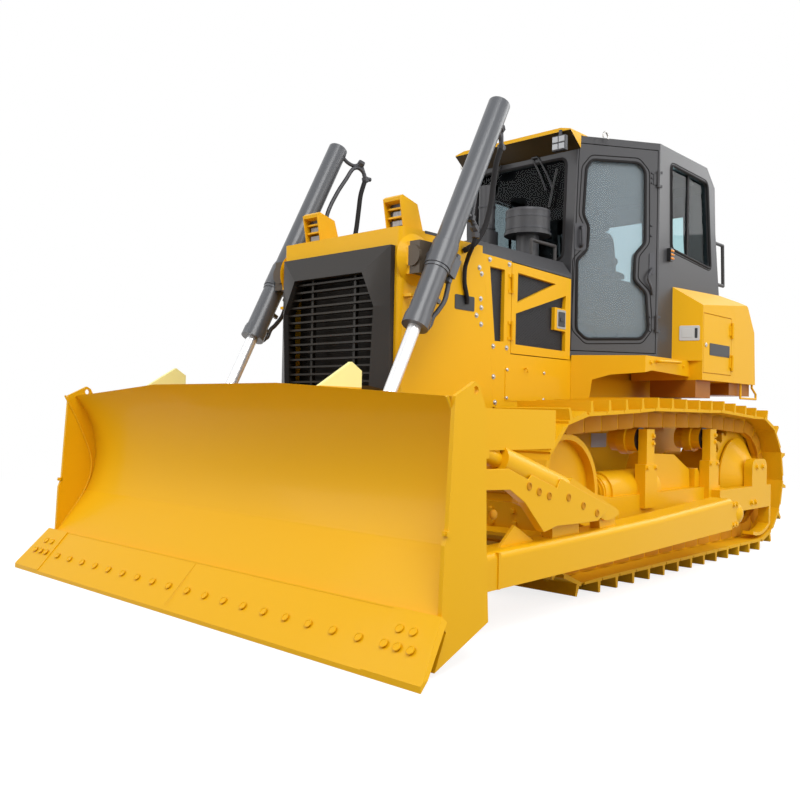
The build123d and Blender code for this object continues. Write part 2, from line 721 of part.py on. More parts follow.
def push_arm():
    """Box beam from the ball trunnion to the blade, with its socket."""
    y0 = ARM_CENTRE_Y - ARM_WIDTH / 2
    y1 = ARM_CENTRE_Y + ARM_WIDTH / 2
    beam = side_plate(ARM_TOPS + ARM_BOTTOMS, y0, y1)
    upper = [e for e in beam.edges() if e.center().Y > y1 - 1 and e.center().Z > 385 and e.length > 400]
    beam = fillet(upper, 34)
    beam += block(SOCKET_REAR, ARM_REAR + 1, y0 + 6, y1 - 6, 290, 455)
    beam += side_plate(((1339, 380), (1540, 490), (1659, 395), (1500, 330)), ARM_CENTRE_Y - 8, ARM_CENTRE_Y + 8)
    beam += block(1744, 1760, y0 - 6, y1 + 6, 226, 390)
    ball = Pos(PIVOT_X, ARM_CENTRE_Y, PIVOT_Z)
    beam -= ball * Sphere(BALL_RADIUS + BALL_CLEARANCE)
    return beam - y_cylinder(STUB_RADIUS + STUB_CLEARANCE, PIVOT_X, PIVOT_Z, y0 - 1, ARM_CENTRE_Y)


def arm_top(x):
    """Height of the push arm's top face."""
    for (x0, z0), (x1, z1) in zip(ARM_TOPS, ARM_TOPS[1:]):
        if x <= x1:
            return mix(z0, z1, (x - x0) / (x1 - x0))
    return ARM_TOPS[-1][1]


def slanted_bar(radius, low, high, y):
    """A round bar in a plane of constant Y."""
    return rod_between(radius, (low[0], y, low[1]), (high[0], y, high[1]))


def tilt_brace():
    """Bracket on the left push arm, the tilt cylinder above it and the hose guard at the blade."""
    y = ARM_CENTRE_Y
    outline = (
        (623, 480), (690, 462), (762, 458), (830, 482), (1044, 464), (1255, 470), (1392, 560), (1480, 590),
        (1420, 705), (1182, 655), (1103, 698), (624, 503),
    )
    bracket = side_plate(outline, BRACE_INNER, BRACE_OUTER)
    bracket += side_plate(((630, arm_top(630) + SEAT), (630, 490), (800, 490), (790, arm_top(790) + SEAT)), y - 30, y + 30)
    bracket += side_plate(((1000, arm_top(1000) + SEAT), (1000, 480), (1250, 490), (1250, arm_top(1250) + SEAT)), y - 30, y + 30)
    share = 0.62
    mid = (mix(TILT_LOW[0], TILT_HIGH[0], share), mix(TILT_LOW[1], TILT_HIGH[1], share))
    brace = bracket + slanted_bar(TILT_RADIUS, TILT_LOW, mid, y)
    brace += slanted_bar(TILT_ROD_RADIUS, mid, TILT_HIGH, y)
    brace += y_cylinder(70, TILT_HIGH[0] - 42, TILT_HIGH[1], y - 45, y + 45)
    hood = block(1260, BEAM_REAR_X - SEAT, y + 30, y + 45, 850, 1040) + block(1260, BEAM_REAR_X - SEAT, y - 40, y + 45, 1028, 1040)
    brace += hood + block(1700, 1740, y - 10, y + 32, 820, 900)
    return brace - block(BEAM_REAR_X - SEAT, BEAM_REAR_X + 300, 1000, 1700, 400, 1200)


def screw_brace():
    """Plain screw brace on the right push arm, drawn on the left and mirrored."""
    y = ARM_CENTRE_Y
    low = (760, arm_top(760) + 85)
    brace = slanted_bar(SCREW_RADIUS, low, TILT_HIGH, y)
    brace += slanted_bar(SCREW_RADIUS + 14, (1240, mix(low[1], TILT_HIGH[1], 0.38)), (1420, mix(low[1], TILT_HIGH[1], 0.524)), y)
    brace += side_plate(((640, arm_top(640) + SEAT), (700, low[1] + 40), (800, low[1] + 40), (900, arm_top(900) + SEAT)), y - 40, y + 40)
    brace += y_cylinder(70, TILT_HIGH[0] - 42, TILT_HIGH[1], y - 45, y + 45)
    return brace - block(BEAM_REAR_X - SEAT, BEAM_REAR_X + 300, 1000, 1700, 400, 1200)


# Lift cylinders


def lift_axis(along):
    """Point on the lift cylinder's line, measured down from its trunnion."""
    a = math.radians(LIFT_TILT_DEG)
    return TRUNNION[0] + along * math.sin(a), TRUNNION[1] - along * math.cos(a)


def on_lift(shape, along):
    """Stand a shape made along Z on the lift cylinder's line."""
    x, z = lift_axis(along)
    return Pos(x, LIFT_Y, z) * Rot(0, -LIFT_TILT_DEG, 0) * shape


def lift_barrel():
    """Barrel with its end cap, gland and trunnion pin."""
    length = BARREL_ABOVE + BARREL_BELOW
    middle = (BARREL_BELOW - BARREL_ABOVE) / 2
    barrel = on_lift(Cylinder(BARREL_RADIUS, length), middle)
    barrel += on_lift(Cylinder(BARREL_RADIUS + 9, 150), 0)
    barrel += on_lift(Cylinder(BARREL_RADIUS + GLAND_LIP, 60), BARREL_BELOW - 30)
    barrel -= on_lift(Cylinder(ROD_RADIUS + RUNNING_GAP, length), middle + 60)
    return barrel + y_cylinder(TRUNNION_RADIUS, TRUNNION[0], TRUNNION[1], GUARD_HALF + 40, LIFT_Y - BARREL_RADIUS + 20)


def lift_rod():
    """Chrome rod with its eye at the blade."""
    start = BARREL_BELOW - ROD_OVERLAP
    rod = on_lift(Cylinder(ROD_RADIUS, ROD_TO_EYE - start), (ROD_TO_EYE + start) / 2)
    x, z = lift_axis(ROD_TO_EYE)
    return rod + y_cylinder(EYE_RADIUS, x, z, LIFT_Y - EYE_WIDTH / 2, LIFT_Y + EYE_WIDTH / 2)


# Radiator guard, grille and lamps


def radiator_guard():
    """Welded guard round the radiator, with the yokes for the lift cylinders."""
    outline = ((GUARD_FRONT, GUARD_BOTTOM), (GUARD_FRONT, GUARD_TOP), (GUARD_REAR_LINE[0][0], GUARD_TOP))
    outline += GUARD_REAR_LINE + ((700, GUARD_BOTTOM),)
    guard = side_plate(outline, -GUARD_HALF, GUARD_HALF)
    front = [e for e in guard.edges().filter_by(Axis.Z) if e.center().X > GUARD_FRONT - 1]
    guard = fillet(front, GUARD_CORNER)
    inner = GUARD_HALF - PANEL_THICK
    guard -= block(500, GUARD_FRONT - 60, -inner, inner, FRAME_TOP + 10, GUARD_TOP - PANEL_THICK)
    guard -= block(500, GUARD_FRONT - 60, -FRAME_HALF - SEAT, FRAME_HALF + SEAT, 100, FRAME_TOP + 20)
    guard -= block(GUARD_FRONT - 61, GUARD_FRONT + 1, -400, 400, 1160, 1900)
    x, z = TRUNNION
    for side in (-1, 1):
        boss = Pos(x, side * (GUARD_HALF + 20), z) * Rot(-90 * side, 0, 0) * Cone(150, 95, 44)
        yoke = block(x - 82, x + 92, side * (GUARD_HALF + 20), side * YOKE_OUTER, z - 92, z + 88)
        yoke += x_cylinder(58, side * (GUARD_HALF + 66), z + 6, x + 80, x + 104)
        pin_hole = y_cylinder(TRUNNION_RADIUS + RUNNING_GAP, x, z, side * (GUARD_HALF + 39), side * (YOKE_OUTER + 1))
        guard += boss + yoke
        guard -= pin_hole
        guard += block(1370, 1420, side * GUARD_HALF, side * (GUARD_HALF + 60), 1655, 1672)
    return guard


def mask_polygon(corners):
    """Six points from three on one side."""
    return list(corners) + [(-y, z) for y, z in reversed(corners)]


def grille():
    """Bulging mask with its slats and two dividers."""
    rear = GUARD_FRONT + SEAT
    middle_z = MASK_OPENING[1][1]
    outer = mask_polygon(((MASK_HALF, MASK_TOP), (MASK_HALF, middle_z), (MASK_HALF, MASK_BOTTOM)))
    opening = mask_polygon(MASK_OPENING)
    low = Plane(origin=(rear + MASK_RIM, 0, 0), x_dir=(0, 1, 0), z_dir=(1, 0, 0))
    high = Plane(origin=(rear + MASK_PEAK, 0, 0), x_dir=(0, 1, 0), z_dir=(1, 0, 0))
    mask = front_plate(outer, rear, rear + MASK_RIM)
    mask += loft([low * Polygon(*outer, align=None), high * Polygon(*opening, align=None)], ruled=True)
    mask -= front_plate(opening, rear - 1, rear + MASK_PEAK + 1)
    (top_y, top_z), (wide_y, wide_z), (low_y, low_z) = MASK_OPENING
    z = low_z + SLAT_PITCH / 2
    while z < top_z - 10:
        half = mix(low_y, wide_y, (z - low_z) / (wide_z - low_z))
        if z > wide_z:
            half = mix(wide_y, top_y, (z - wide_z) / (top_z - wide_z))
        mask += block(rear + 12, rear + 52, -half - 4, half + 4, z, z + SLAT_THICK)
        z += SLAT_PITCH
    for y in (-DIVIDER_Y, DIVIDER_Y):
        mask += block(rear + 12, rear + 36, y - 9, y + 9, low_z - 4, top_z + 4)
    return mask


def headlamp(y):
    """Lamp housing with a brim and an open front."""
    base = GUARD_TOP + SEAT
    points = ((1335, base), (1372, 2236), (1352, 2250), (1225, 2216), (1165, base))
    housing = side_plate(points, y - LAMP_HALF, y + LAMP_HALF)
    housing -= side_plate(((1420, base + 26), (1420, 2226), (1290, 2205), (1290, base + 26)), y - LAMP_HALF + 8, y + LAMP_HALF - 8)
    for z in (base + 78, base + 128):
        housing += block(1322, 1340, y - LAMP_HALF + 7, y + LAMP_HALF - 7, z, z + 10)
    return housing + block(1225, 1330, y - LAMP_HALF - 22, y + LAMP_HALF + 22, base, base + 12)


# Hood


def hood_edge(x):
    """Height of the seam between the hood's cover and its sides."""
    share = (x - HOOD_REAR) / (GUARD_REAR_LINE[0][0] - HOOD_REAR)
    return mix(HOOD_EDGE_REAR, HOOD_EDGE_FRONT, share)


def hood_top():
    """Folded cover: flat top with sloped edges, open below."""
    front = GUARD_REAR_LINE[0][0] - SEAT

    def section(inset):
        half = GUARD_HALF - inset
        flat = HOOD_TOP_HALF - inset * 0.6
        return (
            (-half, 1900), (-half, HOOD_EDGE_REAR + 22), (-flat, HOOD_TOP - inset),
            (flat, HOOD_TOP - inset), (half, HOOD_EDGE_REAR + 22), (half, 1900),
        )

    cover = front_plate(section(0), HOOD_REAR, front)
    cover -= front_plate(section(HOOD_SHEET), HOOD_REAR - 1, front - 20)
    low = ((HOOD_REAR - 5, 1800), (HOOD_REAR - 5, hood_edge(HOOD_REAR - 5)), (front + 5, hood_edge(front + 5)), (front + 5, 1800))
    return cover - side_plate(low, -600, 600)


def hood_panel(points, window=None):
    """A sheet of the hood's left side."""
    panel = side_plate(points, GUARD_HALF - PANEL_THICK, GUARD_HALF)
    if window:
        panel -= side_plate(window, GUARD_HALF - PANEL_THICK - 1, GUARD_HALF + 1)
    return panel


def hinge():
    """A door hinge at the origin: the fixed pin with its ears, and the moving knuckle.

    The moving leaf points along X and Y points out of the panel.
    """
    leaf_y0, leaf_y1 = -HINGE_STAND - 0.5, -6.0
    moving = z_cylinder(KNUCKLE_RADIUS, 0, 0, -HINGE_HALF, HINGE_HALF)
    moving += block(3, HINGE_LEAF, leaf_y0, leaf_y1, -HINGE_HALF, HINGE_HALF)
    moving -= z_cylinder(HINGE_PIN + RUNNING_GAP, 0, 0, -HINGE_HALF - 1, HINGE_HALF + 1)
    fixed = z_cylinder(HINGE_PIN, 0, 0, -HINGE_HALF - HINGE_EAR, HINGE_HALF + HINGE_EAR)
    for side in (-1, 1):
        near = side * (HINGE_HALF + RUNNING_GAP)
        far = side * (HINGE_HALF + HINGE_EAR)
        fixed += z_cylinder(KNUCKLE_RADIUS, 0, 0, near, far)
        fixed += block(-HINGE_LEAF, -3, leaf_y0, leaf_y1, near, far)
    return fixed, moving


ENGINE_HINGE = (ENGINE_DOOR_FRONT + DOOR_GAP / 2, GUARD_HALF + HINGE_STAND)
ENGINE_HINGE_HEIGHTS = (1850.0, 1550.0)


def guard_rear_x(z):
    """Where the guard's slanted rear edge stands at a height."""
    for (x1, z1), (x0, z0) in zip(GUARD_REAR_LINE, GUARD_REAR_LINE[1:]):
        if z >= z0:
            return mix(x0, x1, (z - z0) / (z1 - z0))
    return GUARD_REAR_LINE[-1][0]


def hood_side():
    """Fixed side sheets: the panel beside the guard and the lower panel."""
    gap = 2 * SEAT
    (x_top, z_top), (x_mid, z_mid), (x_low, z_low), (x_end, z_end) = GUARD_REAR_LINE
    door_rear = ENGINE_DOOR_REAR - DOOR_GAP
    door_front = ENGINE_DOOR_FRONT + DOOR_GAP
    upper = hood_panel(
        ((door_front, PANEL_SEAM - 10), (door_front, hood_edge(door_front) - SEAT), (x_top - gap, hood_edge(x_top) - SEAT - 1),
         (x_mid - gap, z_mid), (guard_rear_x(PANEL_SEAM - 10) - gap, PANEL_SEAM - 10)),
        ((634, 1932), (478, 1930), (480, 1476), (573, 1472)),
    )
    lower = hood_panel(
        ((-450, LOWER_PANEL_BOTTOM), (-450, 1320), (-340, 1320), (-312, PANEL_SEAM - DOOR_GAP),
         (guard_rear_x(PANEL_SEAM - DOOR_GAP) - gap, PANEL_SEAM - DOOR_GAP), (x_low - gap, z_low), (x_end - gap, LOWER_PANEL_BOTTOM))
    )
    side = upper + lower
    for height in ENGINE_HINGE_HEIGHTS:
        side += engine_hinge(height)[0]
    return side


def engine_hinge(height):
    """One hinge of the left engine door, on its front edge: the door lies to its rear."""
    spot = Pos(ENGINE_HINGE[0], ENGINE_HINGE[1], height)
    fixed, moving = hinge()
    return spot * mirror(fixed, about=Plane.YZ), spot * mirror(moving, about=Plane.YZ)


def engine_door():
    """Side door with a triangular and a five-sided mesh window."""
    x0, x1 = ENGINE_DOOR_REAR, ENGINE_DOOR_FRONT
    door = hood_panel(
        ((x0, PANEL_SEAM), (x0, hood_edge(x0) - DOOR_GAP), (x1, hood_edge(x1) - DOOR_GAP), (x1, PANEL_SEAM)),
        ((334, 1931), (-111, 1912), (338, 1736)),
    )
    mesh = ((351, 1666), (-240, 1846), (-229, 1751), (-102, 1754), (-99, 1601), (-237, 1597), (-238, 1461), (352, 1467))
    door -= side_plate(mesh, GUARD_HALF - PANEL_THICK - 1, GUARD_HALF + 1)
    for height in ENGINE_HINGE_HEIGHTS:
        door += engine_hinge(height)[1]
    return door


# Cab

CAB_REAR_LINE = (
    (-1712.0, CAB_ROOF), (-1860.0, cab_height(2868)), (-1888.0, cab_height(2499)), (-1975.0, cab_height(1990)),
    (-1975.0, CAB_FLOOR),
)


def door_point(s, out=0.0):
    """Plan point on the left door line: s to the rear along it, out along its outward normal."""
    ux, uy = DOOR_ALONG
    return DOOR_LINE[0] + s * ux + out * uy, DOOR_LINE[1] + s * uy - out * ux


def door_plane():
    """Frame of the left door panel: X to the rear along it, Y up, Z outward."""
    ux, uy = DOOR_ALONG
    x, y = door_point(0)
    return Plane(origin=(x, y, 0), x_dir=(ux, uy, 0), z_dir=(uy, -ux, 0))


def door_prism(points, inset, depth, corner=0.0, shrink=0.0):
    """A panel outline extruded inward from a depth below the door's outer face."""
    face = Polygon(*points, align=None)
    if corner:
        face = fillet(face.vertices(), corner)
    if shrink:
        face = offset(face, -shrink)
    plane = door_plane()
    inward = plane.z_dir * -1
    sheet = extrude(plane * face, depth, dir=inward)
    return Pos(inward.X * inset, inward.Y * inset, 0) * sheet


def line_x(y_value, inset):
    """Plan X where the door line, moved in by inset, reaches a given Y."""
    x, y = door_point(0, -inset)
    return x + (y_value - y) / DOOR_ALONG[1] * DOOR_ALONG[0]


def cab_body(inset):
    """The cab's outer block, every wall moved in by inset."""
    front = -250.0
    y_front = door_point(0, -inset)[1] + (front - door_point(0, -inset)[0]) / DOOR_ALONG[0] * DOOR_ALONG[1]
    half = CAB_HALF - inset
    left = [(front, y_front), (line_x(half, inset), half), (-2100, half)]
    plan = left + [(x, -y) for x, y in reversed(left)]
    low = CAB_FLOOR + (40 if inset else 0)
    rear = [(x + inset, z - inset * 0.8) for x, z in CAB_REAR_LINE[:-1]] + [(CAB_REAR_LINE[-1][0] + inset, low)]
    profile = [(CAB_FRONT_BOTTOM - inset, low), (CAB_FRONT_TOP - inset, CAB_ROOF - inset * 0.8)] + rear
    return plan_plate(plan, low, CAB_ROOF) & side_plate(profile, -1000, 1000)


def window(half, low, high):
    """An upright rectangle, drawn in the Y-Z plane."""
    bottom, top = cab_height(low), cab_height(high)
    return Polygon((-half, bottom), (half, bottom), (half, top), (-half, top), align=None)


def window_prisms(shrink):
    """The fixed windows as prisms through the walls: windscreen, rear sides and rear."""
    screen = window(400, 2130, 2860)
    rear = window(600, 2120, 2800)
    corners = ((-1091, 2888), (-1112, 2267), (-1800, 2210), (-1716, 2877))
    side = side_face([(x, cab_height(z)) for x, z in corners])
    across = Plane(origin=(0, 0, 0), x_dir=(0, 1, 0), z_dir=(1, 0, 0))
    prisms = []
    for face, x0 in ((screen, -600), (rear, -2100)):
        face = offset(fillet(face.vertices(), 60), -shrink) if shrink else fillet(face.vertices(), 60)
        prisms.append(extrude(Pos(x0, 0, 0) * (across * face), 400, dir=(1, 0, 0)))
    face = fillet(side.vertices(), 45)
    if shrink:
        face = offset(face, -shrink)
    prism = extrude(Pos(0, 950, 0) * face, 300, dir=(0, -1, 0))
    return prisms + [prism, flip(prism)]


DOOR_OUTLINE = ((-148, DOOR_BOTTOM), (DOOR_REAR_S, DOOR_BOTTOM), (DOOR_REAR_S, DOOR_TOP), (-104, DOOR_TOP))
DOOR_GLASS_DRAWN = (
    (-52, 2780), (-10, 2838), (355, 2846), (408, 2792), (415, 2272), (337, 2184), (331, 2000), (427, 1913),
    (450, 1650), (397, 1580), (-37, 1562), (-109, 1625), (-112, 2120), (-34, 2197), (-25, 2362), (-69, 2441),
)
DOOR_GLASS = [(s, cab_height(z)) for s, z in DOOR_GLASS_DRAWN]
CAB_HINGE_HEIGHTS = (cab_height(2737), cab_height(1690))
CAB_HINGE = door_point(DOOR_REAR_S + DOOR_GAP / 2, HINGE_STAND)


def cab_hinge(height):
    """One hinge of the left cab door, in its place on the rear edge."""
    fixed, moving = hinge()
    turn = math.degrees(math.atan2(DOOR_ALONG[1], DOOR_ALONG[0])) + 180
    spot = Pos(CAB_HINGE[0], CAB_HINGE[1], height) * Rot(0, 0, turn)
    return spot * fixed, spot * moving


def cab_parts():
    """Cab shell with its openings, the left door cut from it, and the glass."""
    shell = cab_body(0) - cab_body(CAB_WALL)
    pane_outer = CAB_WALL / 2 - GLASS_THICK / 2
    pane = cab_body(pane_outer) - cab_body(pane_outer + GLASS_THICK)
    opening = door_prism(grown(DOOR_OUTLINE, DOOR_GAP), -60, 160)
    door = shell & door_prism(DOOR_OUTLINE, -60, 160)
    door -= door_prism(DOOR_GLASS, -60, 160, DOOR_GLASS_CORNER * 0.45)
    door_glass = door_prism(DOOR_GLASS, pane_outer, GLASS_THICK, DOOR_GLASS_CORNER * 0.45, SEAT)
    fixed = shell - opening - flip(opening)
    for prism in window_prisms(0):
        fixed -= prism
    for height in CAB_HINGE_HEIGHTS:
        still, moving = cab_hinge(height)
        fixed += still
        fixed += flip(still)
        door += moving
    panes = [largest(pane & prism) for prism in window_prisms(SEAT)]
    return fixed, door, door_glass, group(panes)


def grown(points, gap):
    """A four-sided outline moved out by a gap on every side."""
    (a0, b0), (a1, b1), (a2, b2), (a3, b3) = points
    return ((a0 - gap, b0 - gap), (a1 + gap, b1 - gap), (a2 + gap, b2 + gap), (a3 - gap, b3 + gap))


def largest(shape):
    """The biggest solid of a shape."""
    return max(shape.solids(), key=lambda solid: solid.volume)


def roof_visors():
    """Front visor over the windscreen and the small rear one."""
    roof = CAB_ROOF
    seat = roof + SEAT
    brow = (
        (-240, roof + 32), (-240, roof + 4), (-376.5, roof - 95), (CAB_FRONT_TOP + 1, seat), (-600, seat),
        (-600, roof + 24), (-420, roof + 32),
    )
    front = side_plate(brow, -VISOR_HALF, VISOR_HALF)
    for side in (-1, 1):
        corner = ((side * 400, roof + 40), (side * (VISOR_HALF + 45), roof + 1), (side * (VISOR_HALF + 45), roof + 40))
        front -= front_plate(corner, -700, -200)
    tail = (
        (-1500, seat), (-1500, roof + 18), (-1740, roof + 20), (-1900, roof - 60), (-1894, roof - 74),
        (CAB_REAR_LINE[0][0] + SEAT, seat),
    )
    return group([front, side_plate(tail, -REAR_VISOR_HALF, REAR_VISOR_HALF)])


def operator_seat():
    """Cushion, back, headrest, armrests and the pedestal on the cab floor."""
    floor = CAB_FLOOR + 40 + SEAT
    cushion = block(-1330, -860, -250, 250, 1870, 1990)
    cushion = fillet(cushion.edges(), 30)
    back = side_plate(((-1290, 1940), (-1400, 2560), (-1510, 2560), (-1420, 1900)), -240, 240)
    back = fillet(back.edges(), 28)
    head = fillet(block(-1510, -1420, -130, 130, 2540, 2740).edges(), 26)
    seat = cushion + back + head + block(-1280, -940, -190, 190, floor, 1880)
    for side in (-1, 1):
        seat += block(-1380, -960, side * 285, side * 345, 2110, 2170)
        seat += block(-1370, -1290, side * 230, side * 300, 1960, 2120)
    return seat


def console():
    """Control stands beside the seat, with their levers, and the front panel."""
    floor = CAB_FLOOR + 40 + SEAT
    parts = []
    for side in (-1, 1):
        stand = block(-1350, -880, side * 380, side * 540, floor, 2040)
        stand += z_cylinder(14, -960, side * 460, 2030, 2180) + Pos(-960, side * 460, 2190) * Sphere(32)
        parts.append(stand)
    dash = block(-560, -430, -240, 240, floor, 2060)
    dash += side_plate(((-430, 2040), (-430, 2120), (-600, 2180), (-600, 2040)), -240, 240)
    parts.append(dash)
    return group(parts)


# Deck, boxes, tank


def deck():
    """Deck fender beside the cab: top plate and the sheets that hang from it."""
    outer = [(-315, GUARD_HALF + 2), (DECK_BEND_X, DECK_HALF), (DECK_REAR, DECK_HALF)]
    inner_edge = [(DECK_REAR, DECK_INNER), (-451, DECK_INNER), (-451, GUARD_HALF + 2)]
    plate = plan_plate(outer + inner_edge, DECK_TOP - 60, DECK_TOP)
    skirt = plan_plate(outer + inner_edge, LOWER_PANEL_BOTTOM + 70, DECK_TOP - 50)
    hollow = [
        (-315 - 18, GUARD_HALF - 40), (DECK_BEND_X - 9, DECK_HALF - DECK_SHEET), (DECK_REAR - 9, DECK_HALF - DECK_SHEET),
        (DECK_REAR - 9, DECK_INNER - 100), (-340, DECK_INNER - 100),
    ]
    skirt -= plan_plate(hollow, 900, 2000)
    arch = side_plate(((-365, 1000), (-380, 1270), (-435, 1306), (-640, 1342), (-1000, 1330), (-1400, 1318), (-1400, 1000)), 470, 1200)
    deck_left = plate + (skirt - arch)
    return deck_left - block(-452, -200, 400, GUARD_HALF + SEAT, 1000, DECK_TOP - 119)


def box_top_plane(raise_by=0.0):
    """Sloped plane over the side boxes and the tank's corners."""
    a = Vector(BOX_FRONT_INNER, CAB_HALF, 1987 + raise_by)
    b = Vector(BOX_FRONT_OUTER, BOX_SIDE_Y, 1850 + raise_by)
    c = Vector(-2050, BOX_SIDE_Y, 1925 + raise_by)
    normal = (b - a).cross(c - a).normalized()
    return Plane(origin=a, z_dir=normal)


def under_slope(shape):
    """Keep what lies below the sloped plane."""
    plane = box_top_plane()
    kept = shape.split(plane, keep=Keep.BOTTOM)
    return kept


def tank_profile():
    """Side outline of the tank and boxes."""
    return ((-1000, BOX_BOTTOM), (TANK_REAR, BOX_BOTTOM), (-2231, 1725), (-2083, 1918), (-1973, 1954), (-1800, 1990), (-1000, 1990))


def box_hinge(height):
    """One hinge of the left box door, on its rear edge."""
    x0, x1, z0, z1 = BOX_DOOR
    fixed, moving = hinge()
    spot = Pos(x0 - DOOR_GAP / 2, BOX_SIDE_Y + HINGE_STAND, height)
    return spot * fixed, spot * moving


BOX_HINGE_HEIGHTS = (1700.0, 1450.0)


def side_box():
    """Fender box behind the cab door, hollow behind its own door."""
    upper = plan_plate(
        ((BOX_FRONT_INNER, BOX_INNER_Y), (BOX_FRONT_OUTER, BOX_SIDE_Y), (BOX_REAR, BOX_SIDE_Y), (BOX_REAR, BOX_INNER_Y)),
        DECK_TOP + SEAT,
        1990,
    )
    lower = block(BOX_FRONT_OUTER, BOX_REAR, DECK_INNER, BOX_SIDE_Y, BOX_BOTTOM, DECK_TOP - SEAT)
    lower += block(BOX_FRONT_OUTER, BOX_REAR, BOX_INNER_Y, BOX_SIDE_Y, DECK_TOP - 1, DECK_TOP + 1)
    lower += block(BOX_FRONT_OUTER, BOX_BELLY_REAR, BELLY_INNER, BELLY_OUTER, BOX_BELLY_BOTTOM, BOX_BOTTOM + 1)
    box = under_slope(upper) + lower
    x0, x1, z0, z1 = BOX_DOOR
    gap = DOOR_GAP
    box -= block(x0 - gap, x1 + gap, BOX_SIDE_Y - BOX_DOOR_THICK - SEAT, BOX_SIDE_Y + 1, z0 - gap, z1 + gap)
    box -= block(x0 + 30, x1 - 30, BOX_SIDE_Y - 150, BOX_SIDE_Y, z0 + 30, z1 - 30)
    for height in BOX_HINGE_HEIGHTS:
        box += box_hinge(height)[0]
    return box


def box_door():
    """Hinged lid on the box's side."""
    x0, x1, z0, z1 = BOX_DOOR
    door = block(x0, x1, BOX_SIDE_Y - BOX_DOOR_THICK, BOX_SIDE_Y, z0, z1)
    for height in BOX_HINGE_HEIGHTS:
        door += box_hinge(height)[1]
    return door


def fuel_tank():
    """Rear tank across the machine, with cut-off corners and a sloped rear edge."""
    front = BOX_REAR - SEAT
    cab_rear = CAB_REAR_LINE[-1][0] - 1
    half = [(front, BOX_INNER_Y), (front, BOX_SIDE_Y), (TANK_REAR, TANK_CORNER_Y)]
    plan = [(cab_rear, BOX_INNER_Y)] + half + [(x, -y) for x, y in reversed(half)] + [(cab_rear, -BOX_INNER_Y)]
    tank = plan_plate(plan, BOX_BOTTOM, 1990) & side_plate(tank_profile(), -1200, 1200)
    tank = flip(under_slope(flip(under_slope(tank))))
    rear = TANK_REAR + TANK_BELLY_SETBACK
    for side in (-1, 1):
        inner, outer = side * (REAR_CASE_HALF + 10), side * BELLY_OUTER
        tank += block(front - 30, rear, inner, outer, TANK_BELLY_BOTTOM, BOX_BOTTOM + 1)
    return tank


def drawbar():
    """Towing clevis with its pin bore."""
    low, high = DRAWBAR_Z
    bar = block(DRAWBAR_REAR, REAR_CASE_REAR - SEAT, -DRAWBAR_HALF, DRAWBAR_HALF, low, high)
    bar -= block(DRAWBAR_REAR - 1, DRAWBAR_REAR + 130, -DRAWBAR_HALF - 1, DRAWBAR_HALF + 1, *DRAWBAR_SLOT)
    bar += block(REAR_CASE_REAR - 40, REAR_CASE_REAR - SEAT, -190, 190, low - 30, high + 60)
    return bar - z_cylinder(DRAWBAR_PIN_RADIUS, DRAWBAR_PIN_X, 0, low - 1, high + 1)


def main_frame():
    """Hull: frame rails and gear case, cab platform, pivot shaft and equalizer bar."""
    frame = block(-1800, GUARD_FRONT - 60 - SEAT, -FRAME_HALF, FRAME_HALF, FRAME_BOTTOM, FRAME_TOP)
    frame += block(REAR_CASE_REAR, -1750, -REAR_CASE_HALF, REAR_CASE_HALF, 440, BOX_BOTTOM - SEAT)
    frame += block(-1790, -460, -DECK_INNER + SEAT, DECK_INNER - SEAT, FRAME_TOP - 100, BOX_BOTTOM - SEAT)
    frame += block(-1790, -340, -460, 460, BOX_BOTTOM - 20, CAB_FLOOR - SEAT)
    reach = FRAME_INNER_Y - SEAT
    frame += y_cylinder(88, -1400, 420 + 55, -reach, reach)
    frame += block(200, 320, -reach, reach, 395, 515)
    for x in (-250, 540):
        for side in (-1, 1):
            outer = side * (GUARD_HALF - PANEL_THICK - SEAT)
            frame += block(x - 30, x + 30, side * (FRAME_HALF - 60), outer, FRAME_TOP - 50, LOWER_PANEL_BOTTOM + 60)
    return frame


def air_cleaner():
    """Pre-cleaner drum on its pipe, and the exhaust stack."""
    seat = HOOD_TOP + SEAT
    cleaner = z_cylinder(155, -140, 240, 2285, 2452) + z_cylinder(165, -140, 240, 2275, 2292)
    cleaner += z_cylinder(80, -140, 240, seat, 2290) + z_cylinder(104, -140, 240, seat, seat + 14)
    stack = z_cylinder(60, -190, -160, seat, STACK_TOP) + z_cylinder(84, -190, -160, seat + 30, 2360)
    return group([cleaner, stack])


def cab_rear_x(z):
    """Where the cab's rear wall stands at a height."""
    (x1, z1), (x0, z0) = CAB_REAR_LINE[2], CAB_REAR_LINE[3]
    return mix(x0, x1, (z - z0) / (z1 - z0))


def handrails():
    """Grab bars at the cab's rear corners and on the hood, and the guards under the tank."""
    bars = []
    foot = 3.0
    for side in (-1, 1):
        y = side * (CAB_HALF - REAR_RAIL_INSET)
        high, low = cab_height(2440), cab_height(2110)
        bars.append(bent_bar(14, ((cab_rear_x(high) - foot, y, high), (-2070, y, high), (-2090, y, low), (cab_rear_x(low) - foot, y, low))))
        y = side * (BELLY_OUTER + 20)
        top = BOX_BOTTOM - SEAT
        step = ((-2010, y, top), (-2010, y, 1185), (-2330, y, 1185), (-2330, y, 1225), (-2245, y, top - 25), (-2245, y, top))
        bars.append(bent_bar(9, step))
    top = HOOD_TOP + SEAT
    bars.append(bent_bar(12, ((60, 410, top), (60, 410, 2200), (-230, 410, 2200), (-230, 410, top))))
    return group(bars)


def save(name, shape):
    """Write one sub-part."""
    export_step(shape, "parts/" + name + ".step")


